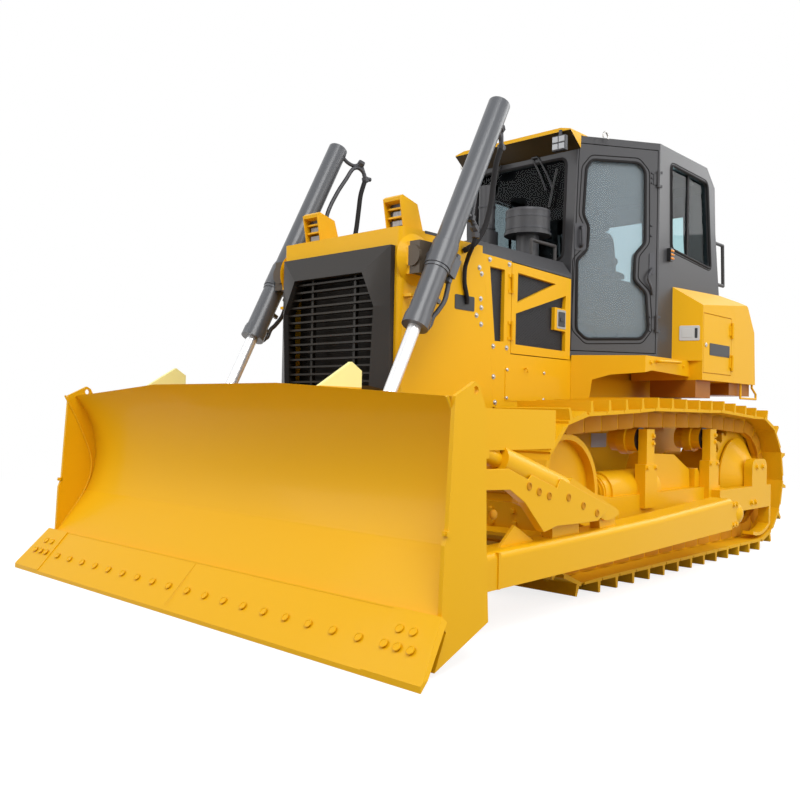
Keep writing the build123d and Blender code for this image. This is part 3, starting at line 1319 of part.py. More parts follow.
os.makedirs("parts", exist_ok=True)
shell, door, door_pane, fixed_panes = cab_parts()
pieces = {
    "track_left": track_loop(),
    "track_frame_left": track_frame(),
    "push_arm_left": push_arm(),
    "lift_barrel_left": lift_barrel(),
    "lift_rod_left": lift_rod(),
    "engine_door_left": engine_door(),
    "box_door_left": box_door(),
    "cab_door_left": door,
    "door_glass_left": door_pane,
}
for name, shape in list(pieces.items()):
    pieces[name.replace("_left", "_right")] = flip(shape)
rollers = [bottom_roller(x) for x in roller_places()] + [carrier_roller(x) for x in CARRIER_X]
pieces.update({
    "sprockets": pair(sprocket()),
    "idlers": pair(idler()),
    "rollers": group(rollers + [flip(wheel) for wheel in rollers]),
    "final_drives": pair(final_drive()),
    "main_frame": main_frame(),
    "engine_block": block(-200, 900, -330, 330, FRAME_TOP, 1900),
    "radiator_core": block(1250, GUARD_FRONT - 60 - SEAT, -440, 440, FRAME_TOP + 10.3, 1990),
    "radiator_guard": radiator_guard(),
    "grille": grille(),
    "headlamps": pair(headlamp(LAMP_Y)),
    "hood_top": hood_top(),
    "hood_sides": pair(hood_side()),
    "cab_shell": shell,
    "cab_glass": fixed_panes,
    "roof_visors": roof_visors(),
    "operator_seat": operator_seat(),
    "console": console(),
    "decks": pair(deck()),
    "side_boxes": pair(side_box()),
    "fuel_tank": fuel_tank(),
    "drawbar": drawbar(),
    "air_cleaner": air_cleaner(),
    "handrails": handrails(),
    "moldboard": moldboard(),
    "cutting_edge": cutting_edge(),
    "tilt_brace_left": tilt_brace(),
    "screw_brace_right": flip(screw_brace()),
})
for name, shape in pieces.items():
    save(name, shape)
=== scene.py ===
import json
import math

import bmesh
import bpy
import numpy as np
from bpy.props import FloatProperty, FloatVectorProperty, IntProperty, PointerProperty
from mathutils import Matrix, Vector


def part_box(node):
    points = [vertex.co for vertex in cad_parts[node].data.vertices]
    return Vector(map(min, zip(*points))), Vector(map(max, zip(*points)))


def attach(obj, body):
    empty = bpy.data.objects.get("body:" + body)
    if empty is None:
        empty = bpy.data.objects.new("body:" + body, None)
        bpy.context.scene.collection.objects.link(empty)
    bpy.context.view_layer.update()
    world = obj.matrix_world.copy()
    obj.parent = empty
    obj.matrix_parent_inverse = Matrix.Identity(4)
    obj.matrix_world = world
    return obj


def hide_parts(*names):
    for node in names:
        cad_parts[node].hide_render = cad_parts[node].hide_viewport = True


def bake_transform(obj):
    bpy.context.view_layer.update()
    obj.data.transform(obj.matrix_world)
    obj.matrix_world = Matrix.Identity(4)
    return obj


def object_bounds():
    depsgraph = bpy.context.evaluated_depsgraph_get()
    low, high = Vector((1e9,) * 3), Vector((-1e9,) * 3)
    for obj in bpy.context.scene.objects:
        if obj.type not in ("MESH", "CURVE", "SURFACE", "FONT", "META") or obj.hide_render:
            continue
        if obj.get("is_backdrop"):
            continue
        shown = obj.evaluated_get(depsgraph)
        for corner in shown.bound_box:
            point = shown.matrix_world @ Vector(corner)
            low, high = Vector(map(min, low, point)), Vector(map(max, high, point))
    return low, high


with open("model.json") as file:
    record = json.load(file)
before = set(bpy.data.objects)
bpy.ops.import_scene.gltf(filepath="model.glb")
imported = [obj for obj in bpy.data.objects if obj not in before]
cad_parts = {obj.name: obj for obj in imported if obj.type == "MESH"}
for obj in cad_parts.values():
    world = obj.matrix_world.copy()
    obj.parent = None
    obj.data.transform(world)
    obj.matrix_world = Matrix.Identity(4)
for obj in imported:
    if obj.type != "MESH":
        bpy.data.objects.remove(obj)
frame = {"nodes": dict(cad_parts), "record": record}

bl_info = {
    "name": "Crawler dozer dressing",
    "version": (1, 0, 0),
    "blender": (4, 5, 0),
    "location": "View3D > Sidebar > Dozer",
    "description": "Paint, glass, fastenings, pipes, seat and stage for the packed crawler dozer",
    "category": "Object",
}

# Sizes are written in millimetres and become metres when a mesh is made.
MM = 0.001
SIDES = (("left", 1), ("right", -1))

# Places that the pieces share with the frame
TRUNNION = np.array((1328.0, 695.0, 1870.0))
LIFT_TILT = math.radians(27.2)
LIFT_DOWN = np.array((math.sin(LIFT_TILT), 0.0, -math.cos(LIFT_TILT)))
LIFT_BACK = np.array((-math.cos(LIFT_TILT), 0.0, -math.sin(LIFT_TILT)))
BARREL_RADIUS = 66.0
ELBOW = (690, 607, 2755)
TEE = (660, 590, 2647)
COLLAR = (815, 662, 2786)
EDGE_TOE = np.array((2362.0, 0.0, 214.0))
EDGE_DOWN = np.array((208.0, 0.0, -214.0)) / math.hypot(208, 214)
EDGE_OUT = np.array((-EDGE_DOWN[2], 0.0, EDGE_DOWN[0]))
EDGE_THICK = 25
END_BIT_THICK = 32
HOOD_SIDE = 502.0
SCREEN_DEPTH = 28
CAB_SIDE = 850
CAB_FLOOR = 1440.0
CAB_ROOF = 3000.0
CAB_FRONT = (-322.0, -382.0)
CAB_REAR = ((1990, -1975), (2499, -1888), (2868, -1860))
BOX_SIDE = 1050
HULL_SIDE = 401
DOOR_FOOT = np.array((-476.0, 558.0, 0.0))
DOOR_ALONG = np.array((-0.831, 0.5563, 0.0))
DOOR_OUT = np.array((0.5563, 0.831, 0.0))
OUT = (0, 1, 0)
UP = np.array((0.0, 0.0, 1.0))
TRACK_PITCH = 203.2
SHOES = 38
SHOE_PHASE = 0.397
HALF_GAUGE = 940.0
PITCH_RADIUS = 408.0
AXLE_Z = 550.0
SPROCKET_X = -2000.0
IDLER_X = 577.6
CARRIERS = (-315.0, -1290.0)
CARRIER_Z = 871.0
CARRIER_BELT = 130.0
ARM_SIDE = 1424
GUARD_PLATE = 1438
GUARD_FOLD = ((1377, 457), (1404, 454), (1566, 605), (1685, 670), (1985, 682))


# Settings that a user would change


def colour(name, description, default):
    """A colour setting."""
    return FloatVectorProperty(name=name, description=description, subtype="COLOR", default=default)


def share(name, description, default):
    """A setting from 0 to 1."""
    return FloatProperty(name=name, description=description, subtype="FACTOR", default=default, min=0, max=1)


def length(name, description, default):
    """A length setting, in metres."""
    return FloatProperty(name=name, description=description, unit="LENGTH", default=default)


class DozerPaint(bpy.types.PropertyGroup):
    """Colours and finish of the machine."""

    yellow: colour("Yellow", "Enamel of the machine", (0.81, 0.425, 0.003))
    grey: colour("Grey", "Enamel of the cab and mask", (0.047, 0.048, 0.053))
    cylinder: colour("Cylinder", "Enamel of the lift cylinders", (0.075, 0.080, 0.090))
    gloss: share("Gloss", "Clear coat of the enamel", 0.08)
    dust: share("Dust", "Dust in the paint", 0.12)


class DozerSizes(bpy.types.PropertyGroup):
    """Sizes of the small pieces."""

    bolt_radius: length("Bolt", "Half width of a bolt head", 0.011)
    hose_radius: length("Hose", "Radius of a hydraulic hose", 0.014)
    pipe_radius: length("Pipe", "Radius of a steel pipe", 0.012)
    mesh_pitch: length("Mesh pitch", "Spacing of the screen wires", 0.013)
    edge_bolts: IntProperty(name="Edge bolts", description="Bolts in half of the middle edge", default=9, min=1)


def paint():
    """The colours in use."""
    return bpy.context.scene.dozer_paint


def sizes():
    """The sizes in use, in millimetres."""
    group = bpy.context.scene.dozer_sizes
    return {
        "bolt": group.bolt_radius / MM,
        "hose": group.hose_radius / MM,
        "pipe": group.pipe_radius / MM,
        "mesh": group.mesh_pitch / MM,
        "edge_bolts": group.edge_bolts,
    }


# Surfaces: each is a pair of an array of points in millimetres and a list of faces


def grid(points, wrap_rows=False):
    """Quads between neighbouring points of a rows by columns by 3 array.

    Each row is joined round to its own start, and with wrap_rows the last row to the first.
    """
    rows, cols = points.shape[:2]
    index = np.arange(rows * cols).reshape(rows, cols)
    if wrap_rows:
        index = np.vstack([index, index[:1]])
    index = np.hstack([index, index[:, :1]])
    quads = np.stack([index[:-1, :-1], index[:-1, 1:], index[1:, 1:], index[1:, :-1]], axis=-1)
    return points.reshape(-1, 3), quads.reshape(-1, 4).tolist()


def capped(points):
    """A grid of closed rows, with a flat face over its first and its last row."""
    rows, cols = points.shape[:2]
    vertices, faces = grid(points)
    faces.append(list(range(cols)))
    faces.append(list(range((rows - 1) * cols, rows * cols)))
    return vertices, faces


def turned(profile, sides=24):
    """A profile of (radius, height) turned about Z: (r cos a, r sin a, h) for each row and each angle a."""
    profile = np.array(profile, float)
    angle = np.arange(sides) * 2 * np.pi / sides
    radius = np.maximum(profile[:, :1], 1e-3)
    x = radius * np.cos(angle)
    y = radius * np.sin(angle)
    z = np.repeat(profile[:, 1:2], sides, axis=1)
    return capped(np.stack([x, y, z], axis=-1))


def prism(outline, low, high):
    """A polygon of (x, y) points carried along Z from low to high."""
    outline = np.array(outline, float)
    rows = [np.column_stack([outline, np.full(len(outline), level)]) for level in (low, high)]
    return capped(np.stack(rows))


def rectangle(x0, x1, y0, y1):
    """The corners of a rectangle, in order round it."""
    return ((x0, y0), (x1, y0), (x1, y1), (x0, y1))


def box(x0, x1, y0, y1, z0, z1):
    """A box between two corners."""
    return prism(rectangle(x0, x1, y0, y1), z0, z1)


def plate(x0, x1, y0, y1, corner, low, high):
    """A rectangle with rounded corners, carried along Z from low to high."""
    return prism(rounded(rectangle(x0, x1, y0, y1), corner), low, high)


def curve(points, steps=8):
    """A smooth line through points: on each span the Catmull-Rom cubic of its four neighbours."""
    points = np.array(points, float)
    padded = np.vstack([2 * points[0] - points[1], points, 2 * points[-1] - points[-2]])
    spans = (padded[:-3], padded[1:-2], padded[2:-1], padded[3:])
    before, start, after, further = (array[:, None, :] for array in spans)
    t = (np.arange(steps) / steps)[None, :, None]
    line = 0.5 * (
        2 * start
        + (after - before) * t
        + (2 * before - 5 * start + 4 * after - further) * t**2
        + (3 * start - before - 3 * after + further) * t**3
    )
    return np.vstack([line.reshape(-1, 3), points[-1]])


def rounded(corners, radius):
    """A polygon whose corners are quadratic curves that start and end radius away from each corner."""
    corners = np.array(corners, float)
    ends = []
    for shift in (1, -1):
        step = np.roll(corners, shift, axis=0) - corners
        length = np.linalg.norm(step, axis=1)[:, None]
        ends.append((corners + step / length * np.minimum(radius, length * 0.48))[:, None])
    t = np.linspace(0, 1, 6)[None, :, None]
    line = (1 - t) ** 2 * ends[0] + 2 * t * (1 - t) * corners[:, None] + t**2 * ends[1]
    return line.reshape(-1, corners.shape[1])


def carried(line, section, closed=False, side=None):
    """A section of (across, out) points carried along a line.

    Each row is the line's point plus across times the side vector and out times the third direction,
    where the side vector is square to the line's tangent.
    """
    line = np.array(line, float)
    section = np.array(section, float)
    if closed:
        tangent = np.roll(line, -1, axis=0) - np.roll(line, 1, axis=0)
    else:
        tangent = np.gradient(line, axis=0)
    tangent /= np.linalg.norm(tangent, axis=1)[:, None]
    if side is None:
        spread = line - line.mean(axis=0)
        side = np.linalg.svd(spread, full_matrices=True)[2][-1]
        if np.abs(tangent @ side).max() > 0.9:
            side = UP if abs(tangent[0] @ UP) < 0.8 else np.array((1.0, 0.0, 0.0))
    side = np.array(side, float)
    across = side - (tangent @ side)[:, None] * tangent
    across /= np.linalg.norm(across, axis=1)[:, None]
    out = np.cross(tangent, across)
    rows = line[:, None] + section[None, :, :1] * across[:, None] + section[None, :, 1:] * out[:, None]
    return grid(rows, wrap_rows=True) if closed else capped(rows)


def ring(radius, sides=10):
    """A circle as a section."""
    angle = np.arange(sides) * 2 * np.pi / sides
    return np.column_stack([radius * np.cos(angle), radius * np.sin(angle)])


def tube(points, radius, smooth=True):
    """A round tube along a line."""
    line = curve(points) if smooth else np.array(points, float)
    return carried(line, ring(radius))


def join(*shapes):
    """Several surfaces as one."""
    vertices, faces, start = [], [], 0
    for points, polygons in shapes:
        vertices.append(points)
        faces += [[start + corner for corner in polygon] for polygon in polygons]
        start += len(points)
    return np.vstack(vertices), faces


def flipped(shape):
    """The mirror image on the machine's other side."""
    points, faces = shape
    return points * np.array((1, -1, 1)), [polygon[::-1] for polygon in faces]


def both(shape):
    """A surface and its mirror image."""
    return join(shape, flipped(shape))


def placed(shape, origin, x_axis, y_axis, z_axis):
    """Local x, y and z laid along three directions from an origin."""
    points, faces = shape
    axes = np.array((x_axis, y_axis, z_axis), float)
    return points @ axes + np.array(origin, float), faces


def repeated(shape, places):
    """Copies of a surface at several places."""
    points, faces = shape
    places = np.array(places, float)
    copies = (points[None] + places[:, None]).reshape(-1, 3)
    count = len(points)
    steps = range(0, count * len(places), count)
    return copies, [[corner + step for corner in polygon] for step in steps for polygon in faces]


def standing(shape, places, along=OUT):
    """Copies at several places of a surface made about Z, turned to stand along a direction."""
    turn = np.array(Vector((0, 0, 1)).rotation_difference(Vector(along)).to_matrix())
    points, faces = shape
    return repeated((points @ turn.T, faces), places)


def on_side(shape, level=HOOD_SIDE):
    """Local x, y, out laid as X, Z and out of the machine's left side."""
    return placed(shape, (0, level, 0), (1, 0, 0), (0, 0, 1), (0, 1, 0))


def on_door(shape):
    """Local x, y, out laid as distance along the cab door, height and out of it."""
    return placed(shape, DOOR_FOOT, DOOR_ALONG, UP, DOOR_OUT)


def on_barrel(shape):
    """Local x, y, z laid as back from the barrel, across it and down along it, from its trunnion."""
    return placed(shape, TRUNNION, LIFT_BACK, OUT, LIFT_DOWN)


def on_edge(shape, out=0.0):
    """Local x, y, z laid as down along the cutting edge, across the machine and out of the edge."""
    return placed(shape, EDGE_TOE + EDGE_OUT * out, EDGE_DOWN, OUT, EDGE_OUT)


def bolt(radius, height=None):
    """A washer and a six-sided head with a chamfered top, standing on Z."""
    height = height or radius * 0.9
    washer = turned(((radius * 1.45, -1), (radius * 1.45, height * 0.25)), 12)
    head = turned(((radius, 0), (radius, height * 0.85), (radius * 0.8, height * 1.1)), 6)
    return join(washer, head)


def stud(radius, height):
    """A domed round head, standing on Z."""
    dome = ((radius, height * 0.35), (radius * 0.8, height * 0.8), (radius * 0.35, height))
    return turned(((radius, -1), *dome), 12)


def bolts_on_side(places):
    """Bolts on the hood's left side at (X, Z) places."""
    return standing(bolt(sizes()["bolt"]), [(x, HOOD_SIDE, z) for x, z in places])


def mix(low, high, share):
    """A value part of the way between two."""
    return low + (high - low) * share


# Making a piece


def make(name, shape, material, body, smooth=False, bevel=0.0):
    """Turns a surface into an object of the scene, which rides on a body when the body is given by name."""
    points, faces = shape
    mesh = bpy.data.meshes.new(name)
    mesh.from_pydata((points * MM).tolist(), [], faces)
    work = bmesh.new()
    work.from_mesh(mesh)
    bmesh.ops.remove_doubles(work, verts=work.verts, dist=2e-6)
    bmesh.ops.dissolve_degenerate(work, edges=work.edges, dist=1e-7)
    bmesh.ops.recalc_face_normals(work, faces=work.faces)
    for face in work.faces:
        face.smooth = smooth
    if smooth:
        for edge in work.edges:
            edge.smooth = len(edge.link_faces) == 2 and edge.calc_face_angle(0) < math.radians(40)
    work.to_mesh(mesh)
    work.free()
    mesh.validate()
    piece = bpy.data.objects.new(name, mesh)
    bpy.context.scene.collection.objects.link(piece)
    mesh.materials.append(material)
    if bevel:
        modifier = piece.modifiers.new("Edges", "BEVEL")
        modifier.width = bevel * MM
        modifier.segments = 2
        modifier.limit_method = "ANGLE"
        modifier.angle_limit = math.radians(35)
    if isinstance(body, str):
        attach(piece, body)
    else:
        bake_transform(piece)
    return piece


def make_sides(name, shape, material, body, smooth=False, bevel=0.0):
    """A piece on the left body of a pair and its mirror image on the right one."""
    for side, sign in SIDES:
        turned_shape = shape if sign > 0 else flipped(shape)
        make(name + "_" + side, turned_shape, material, body + "_" + side, smooth, bevel)


# Materials

DUST = (0.60, 0.37, 0.07)
# Brown painted shade for the lower faces of the side boxes and the fuel tank
PAINTED_BELLY_SHADE = (0.34, 0.115, 0.010)
BLACK = (0.012, 0.012, 0.013)
FIN_YELLOW = (0.93, 0.86, 0.36)
SCREEN_TINT = (0.20, 0.215, 0.23)
GLINT = 0.13


def feed(node, inputs):
    """Gives a node's inputs a number, a colour or another node's socket."""
    for key, value in inputs.items():
        if isinstance(value, bpy.types.NodeSocket):
            node.id_data.links.new(value, node.inputs[key])
        else:
            node.inputs[key].default_value = value


def add_node(tree, kind, inputs=None, **settings):
    """A new shader node with its settings and inputs."""
    node = tree.nodes.new("ShaderNode" + kind)
    for name, value in settings.items():
        setattr(node, name, value)
    feed(node, inputs or {})
    return node


def maths(tree, operation, *values):
    """The output of a math node fed by sockets or numbers."""
    return add_node(tree, "Math", dict(enumerate(values)), operation=operation).outputs[0]


def blended(tree, factor, first, second):
    """The output of a colour mix, from the first colour at 0 to the second at 1."""
    return add_node(tree, "Mix", {"Factor": factor, 6: first, 7: second}, data_type="RGBA").outputs[2]


def own_place(tree):
    """The object's own coordinates."""
    return add_node(tree, "TexCoord").outputs["Object"]


def new_group(name, inputs, outputs):
    """An empty shader group with float or colour sockets."""
    group = bpy.data.node_groups.new(name, "ShaderNodeTree")
    for label, kind, value in inputs:
        socket = group.interface.new_socket(label, in_out="INPUT", socket_type="NodeSocket" + kind)
        socket.default_value = value
    for label, kind in outputs:
        group.interface.new_socket(label, in_out="OUTPUT", socket_type="NodeSocket" + kind)
    return group, group.nodes.new("NodeGroupInput").outputs, group.nodes.new("NodeGroupOutput")


def enamel_group():
    """Enamel: a colour with soft patches of dust, a roughness that follows them and a fine orange peel."""
    if "Enamel" in bpy.data.node_groups:
        return bpy.data.node_groups["Enamel"]
    group, entry, leave = new_group(
        "Enamel",
        (
            ("Colour", "Color", (0.8, 0.4, 0.02, 1)),
            ("Dust colour", "Color", (0.75, 0.6, 0.35, 1)),
            ("Dust", "Float", 0.1),
            ("Roughness", "Float", 0.35),
            ("Peel", "Float", 0.05),
        ),
        (("Colour", "Color"), ("Roughness", "Float"), ("Normal", "Vector")),
    )
    place = own_place(group)
    patches = add_node(group, "TexNoise", {"Scale": 1.7, "Detail": 5, "Vector": place})
    amount = maths(group, "MULTIPLY", patches.outputs["Fac"], entry["Dust"])
    peel = add_node(group, "TexNoise", {"Scale": 260, "Vector": place})
    height = {"Distance": 0.0006, "Strength": entry["Peel"], "Height": peel.outputs["Fac"]}
    feed(leave, {
        "Colour": blended(group, amount, entry["Colour"], entry["Dust colour"]),
        "Roughness": maths(group, "ADD", amount, entry["Roughness"]),
        "Normal": add_node(group, "Bump", height).outputs["Normal"],
    })
    return group


def once(finish):
    """Gives back a material that is already there instead of making it again."""

    def kept(name, *values, **named):
        if name in bpy.data.materials:
            return bpy.data.materials[name]
        return finish(name, *values, **named)

    return kept


def new_material(name, inputs):
    """A material, and its Principled shader with the given inputs."""
    material = bpy.data.materials.new(name)
    material.use_nodes = True
    shader = material.node_tree.nodes["Principled BSDF"]
    feed(shader, inputs)
    return material, shader


@once
def enamel(name, colour, roughness=0.35, dust=None, coat=None, peel=0.05, glint=GLINT):
    """A painted finish from the enamel group."""
    gloss = paint().gloss if coat is None else coat
    values = {"Coat Weight": gloss, "Coat Roughness": 0.12, "Specular IOR Level": glint}
    material, shader = new_material(name, values)
    dusty = (0.7 * part + 0.3 * grain for part, grain in zip(colour, DUST))
    own = {
        "Colour": (*colour, 1),
        "Dust colour": (*dusty, 1),
        "Dust": paint().dust if dust is None else dust,
        "Roughness": roughness,
        "Peel": peel,
    }
    group = add_node(material.node_tree, "Group", node_tree=enamel_group())
    feed(group, own)
    results = (("Base Color", "Colour"), ("Roughness", "Roughness"), ("Normal", "Normal"))
    feed(shader, {socket: group.outputs[label] for socket, label in results})
    return material


@once
def plain(name, colour, roughness=0.5, metallic=0.0):
    """A finish of one colour."""
    return new_material(name, {"Base Color": (*colour, 1), "Roughness": roughness, "Metallic": metallic})[0]


@once
def glass(name, colour, clear, other=None, test=None):
    """Tinted safety glass: clear is the share that passes, the rest is a pale colour, a painted reflection of
    the bright surroundings that hides the inside.
    """
    values = {"Base Color": (*colour, 1), "Roughness": 0.02, "Transmission Weight": clear, "IOR": 1.12}
    material, shader = new_material(name, values)
    if test:
        two_colours(shader, "Base Color", colour, other, test)
    return material


@once
def by_place(name, base, other, test):
    """Enamel in two colours: the second where a test on the object's own place is true."""
    material = enamel(name, base)
    group = next(node for node in material.node_tree.nodes if node.type == "GROUP")
    two_colours(group, "Colour", base, other, test)
    return material


def two_colours(node, socket, base, other, test):
    """Feeds an input with one colour, and another where a test on the object's own place is true."""
    tree = node.id_data
    axes = add_node(tree, "SeparateXYZ", {"Vector": own_place(tree)}).outputs
    feed(node, {socket: blended(tree, test(tree, axes), (*base, 1), (*other, 1))})


def where(*limits):
    """A test that is true where every limit on the object's own place holds.

    A limit is an axis, "above" or "below", and a level in millimetres. Y counts either way from the middle.
    """
    operations = {"above": "GREATER_THAN", "below": "LESS_THAN"}

    def test(tree, axes):
        result = 1.0
        for axis, side, level in limits:
            value = maths(tree, "ABSOLUTE", axes[axis]) if axis == "Y" else axes[axis]
            result = maths(tree, "MULTIPLY", result, maths(tree, operations[side], value, level * MM))
        return result

    return test


def under_visor(tree, axes):
    """The front visor's lower face, below a slanted plane."""
    slope, level = -0.7253, 3.1795
    height = maths(tree, "ADD", axes["Z"], maths(tree, "MULTIPLY", axes["X"], slope))
    front = where(("X", "above", -600))(tree, axes)
    return maths(tree, "MULTIPLY", maths(tree, "LESS_THAN", height, level), front)


# Where a piece changes its colour
WINDSCREEN = where(("X", "above", -450))
YOKES = where(("Y", "above", 545), ("Z", "above", 1700))
UNDERSIDES = where(("Z", "below", 1299.5))
EAR_FINS = where(("Z", "above", 1130), ("Y", "below", 900), ("X", "below", 2280))
SLATS = where(("Y", "below", 388), ("X", "below", 1501), ("Z", "above", 1156), ("Z", "below", 1798))


def yellow():
    return enamel("Machine yellow", paint().yellow)


def track_yellow():
    return enamel("Track yellow", tuple(0.93 * part for part in paint().yellow), roughness=0.5, coat=0.05)


def painted_shade_brown():
    """The chain's paint, darkened with painted shade from the shoes over it."""
    return enamel("Painted shade brown", (0.56, 0.24, 0.008), roughness=0.5, coat=0.0)


def cab_grey():
    return enamel("Cab grey", paint().grey, roughness=0.42, dust=0.04, glint=0.3)


def cylinder_grey():
    return enamel("Cylinder grey", paint().cylinder, roughness=0.34, dust=0.03, coat=0.15, glint=0.5)


def rubber():
    return enamel("Rubber", (0.018, 0.018, 0.020), roughness=0.65, dust=0.03, coat=0.0, peel=0.2)


def steel():
    return plain("Bright steel", (0.46, 0.45, 0.43), roughness=0.35, metallic=0.8)


def dark_steel():
    return plain("Dark steel", (0.05, 0.05, 0.055), roughness=0.45, metallic=0.4)


def lamp_lens():
    return plain("Lamp lens", (0.36, 0.37, 0.39), roughness=0.12)


def blank_black():
    return plain("Blank black plate", BLACK, roughness=0.35)


def seat_cloth():
    return enamel("Cushion cloth", (0.030, 0.031, 0.034), roughness=0.8, dust=0.04, coat=0.0, peel=0.5)


def cab_glass():
    """Fixed panes: a dark windscreen, and clear pale panes behind the doors."""
    return glass("Cab glass", (0.62, 0.78, 0.80), 1.0, SCREEN_TINT, WINDSCREEN)


def door_glass():
    # The door panes carry a share of pale painted reflection
    return glass("Door glass", (0.62, 0.71, 0.76), 0.78)


def paint_frame():
    """Gives each node of the frame its finish."""
    finishes = {
        "yellow_paint": yellow(),
        "track_steel": track_yellow(),
        "grey_paint": cylinder_grey(),
        "cab_paint": cab_grey(),
        "chrome_rod": plain("Chrome", (0.84, 0.85, 0.87), roughness=0.2, metallic=0.55),
        "dark_iron": enamel("Dark iron", (0.02, 0.02, 0.022), roughness=0.6, coat=0.0),
        "glass": cab_glass(),
        "seat_black": enamel("Moulded black", (0.03, 0.03, 0.033), roughness=0.6, coat=0.0),
    }
    own = {
        "radiator_guard": by_place("Guard yellow", paint().yellow, paint().grey, YOKES),
        "roof_visors": by_place("Visor yellow", paint().yellow, BLACK, under_visor),
        "moldboard": by_place("Blade yellow", paint().yellow, FIN_YELLOW, EAR_FINS),
        "grille": by_place("Mask grey", tuple(0.55 * part for part in paint().grey), BLACK, SLATS),
        "air_cleaner": cab_grey(),
        "handrails": by_place("Rail grey", paint().grey, paint().yellow, UNDERSIDES),
        # Below the boxes' bottom level the boxes and the tank take brown painted shade
        "side_boxes": by_place("Box yellow", paint().yellow, PAINTED_BELLY_SHADE, UNDERSIDES),
        "fuel_tank": by_place("Tank yellow", paint().yellow, PAINTED_BELLY_SHADE, UNDERSIDES),
        "door_glass_left": door_glass(),
        "door_glass_right": door_glass(),
    }
    for row in frame["record"]["subparts"]:
        node = frame["nodes"][row["node"]]
        finish = own.get(row["node"], finishes[row["material_slot"]])
        node.data.materials.clear()
        node.data.materials.append(finish)


# Pieces on the blade


def edge_bolts():
    """Round bolt heads in the cutting edge and the end bits."""
    head = turned(((19, -3), (19, 1.5), (15, 3.2), (13.5, 0.8), (6, 0.5)), 14)
    head = placed(head, (0, 0, 0), EDGE_DOWN, OUT, EDGE_OUT)

    def at(y, height, thick):
        down = (EDGE_TOE[2] - height) / -EDGE_DOWN[2]
        return EDGE_TOE + EDGE_DOWN * down + EDGE_OUT * (thick + 1.5) + np.array((0, y, 0))

    first, pitch = 82.0, 151.0
    low, high = 98, 152
    places = [at(first + pitch * i, low, EDGE_THICK) for i in range(sizes()["edge_bolts"])]
    places += [at(y, low, END_BIT_THICK) for y in (1435, 1505, 1575)]
    places += [at(y, high, END_BIT_THICK) for y in (1468, 1540)]
    return both(repeated(head, places))


def edge_seams():
    """Thin raised seams between the edge's segments and along its top."""
    middle = on_edge(box(4, 266, -1.2, 1.2, 0, 0.8), EDGE_THICK + 1)
    top = on_edge(box(0, 6, -1384, 1384, EDGE_THICK - 1, EDGE_THICK + 2.2))
    return join(middle, top)


def blade_extras():
    """Weld beads at the end plates, the hook steps on their front edges and bolts behind them."""
    hooks = [box(2328, 2346, 1590, 1618, 536, 556), box(2330, 2352, 1598, 1612, 540, 549)]
    weld = curve([(2326, 0, 1080), (2225, 0, 900), (2136, 0, 663), (2180, 0, 470), (2350, 0, 222)], 6)
    weld = carried(weld + np.array((0, 1586, 0)), ring(7, 6))
    return both(join(weld, *hooks))


# Pieces on the lift cylinders


def nut(radius, length):
    """A six-sided pipe nut with chamfered ends, along Z."""
    chamfer, end, shoulder = radius * 0.8, length / 2, length * 0.38
    return turned(((chamfer, -end), (radius, -shoulder), (radius, shoulder), (chamfer, end)), 6)


def barrel_fittings():
    """Bands, ports and the valve block on the left barrel."""
    rim = BARREL_RADIUS
    band = turned(((rim - 2, -8), (rim + 5, -8), (rim + 5, 8), (rim - 2, 8)), 32)
    port = turned(((22, 0), (22, 26), (26, 26), (26, 30), (16, 34)), 14)
    clamp = box(rim - 4, rim + 40, -9, 9, -12, 12)
    return on_barrel(join(
        repeated(band, [(0, 0, level) for level in (-86, 86, 384, 436)]),
        placed(port, (rim - 8, 0, 404), UP, OUT, (1, 0, 0)),
        box(rim + 4, rim + 62, -30, 30, -38, 66),
        box(rim + 20, rim + 74, -18, 18, -62, -30),
        repeated(nut(22, 30), [(rim + 46, 0, level) for level in (-72, 84)]),
        repeated(clamp, [(0, 0, level) for level in (230, 350)]),
    ))


def barrel_pipes():
    """Steel pipe down the back of the left barrel from its valve block to its lower port."""
    rim = BARREL_RADIUS
    line = ((rim + 46, 0, 70), (rim + 64, 0, 130), (rim + 72, 0, 200), (rim + 52, 0, 280), (rim + 34, 0, 325))
    line += ((rim + 34, 0, 380), (rim + 18, 0, 404))
    return on_barrel(tube(line, sizes()["pipe"] + 2))


def top_elbow():
    """Steel pipe from the left barrel's top port to its elbow, and the tee below that."""
    return join(
        tube((COLLAR, (780, 645, 2752), (740, 626, 2736), (705, 612, 2748), ELBOW), 13),
        tube((ELBOW, (672, 598, 2700), TEE), 14, smooth=False),
        standing(nut(27, 30), [COLLAR], (0.6, 0.5, 0.5)),
        standing(nut(26, 46), [ELBOW], (0.6, 0.3, 0.3)),
        standing(nut(24, 40), [TEE], (0.25, 0.1, 1)),
        standing(nut(17, 60), [(646, 586, 2655)], (1, 0.2, 0)),
    )


def side_hose():
    """Hose from the tee over and down behind the left barrel to its middle fitting."""
    line = (TEE, (672, 594, 2692), (712, 606, 2722), (756, 620, 2706), (806, 632, 2628), (876, 640, 2524))
    line += ((948, 645, 2392), (985, 648, 2270), (1008, 650, 2180), (1017, 650, 2136))
    return tube(line, sizes()["hose"])


def middle_fitting():
    """Nuts and elbow at the lower end of the side hose, held to the barrel by a strap."""
    return join(
        standing(nut(25, 38), [(1017, 650, 2140)], (0.2, 0, -1)),
        standing(nut(25, 38), [(986, 650, 2092)], (-0.6, 0, -0.6)),
        standing(nut(25, 38), [(972, 650, 2050)], (0, 0, -1)),
        tube(((1017, 650, 2140), (990, 650, 2110), (968, 650, 2080), (974, 650, 2044)), 17),
        tube(((1010, 652, 2150), (1080, 668, 2150), (1130, 682, 2152)), 11, smooth=False),
    )


def drop_hose():
    """Hose that hangs from the tee down to the guard's rear top corner."""
    line = (TEE, (684, 588, 2590), (708, 586, 2520), (726, 584, 2405), (748, 582, 2270), (790, 574, 2138))
    line += ((850, 556, 2040), (893, 534, 2000), (905, 508, 1985))
    return tube(line, sizes()["hose"] + 3)


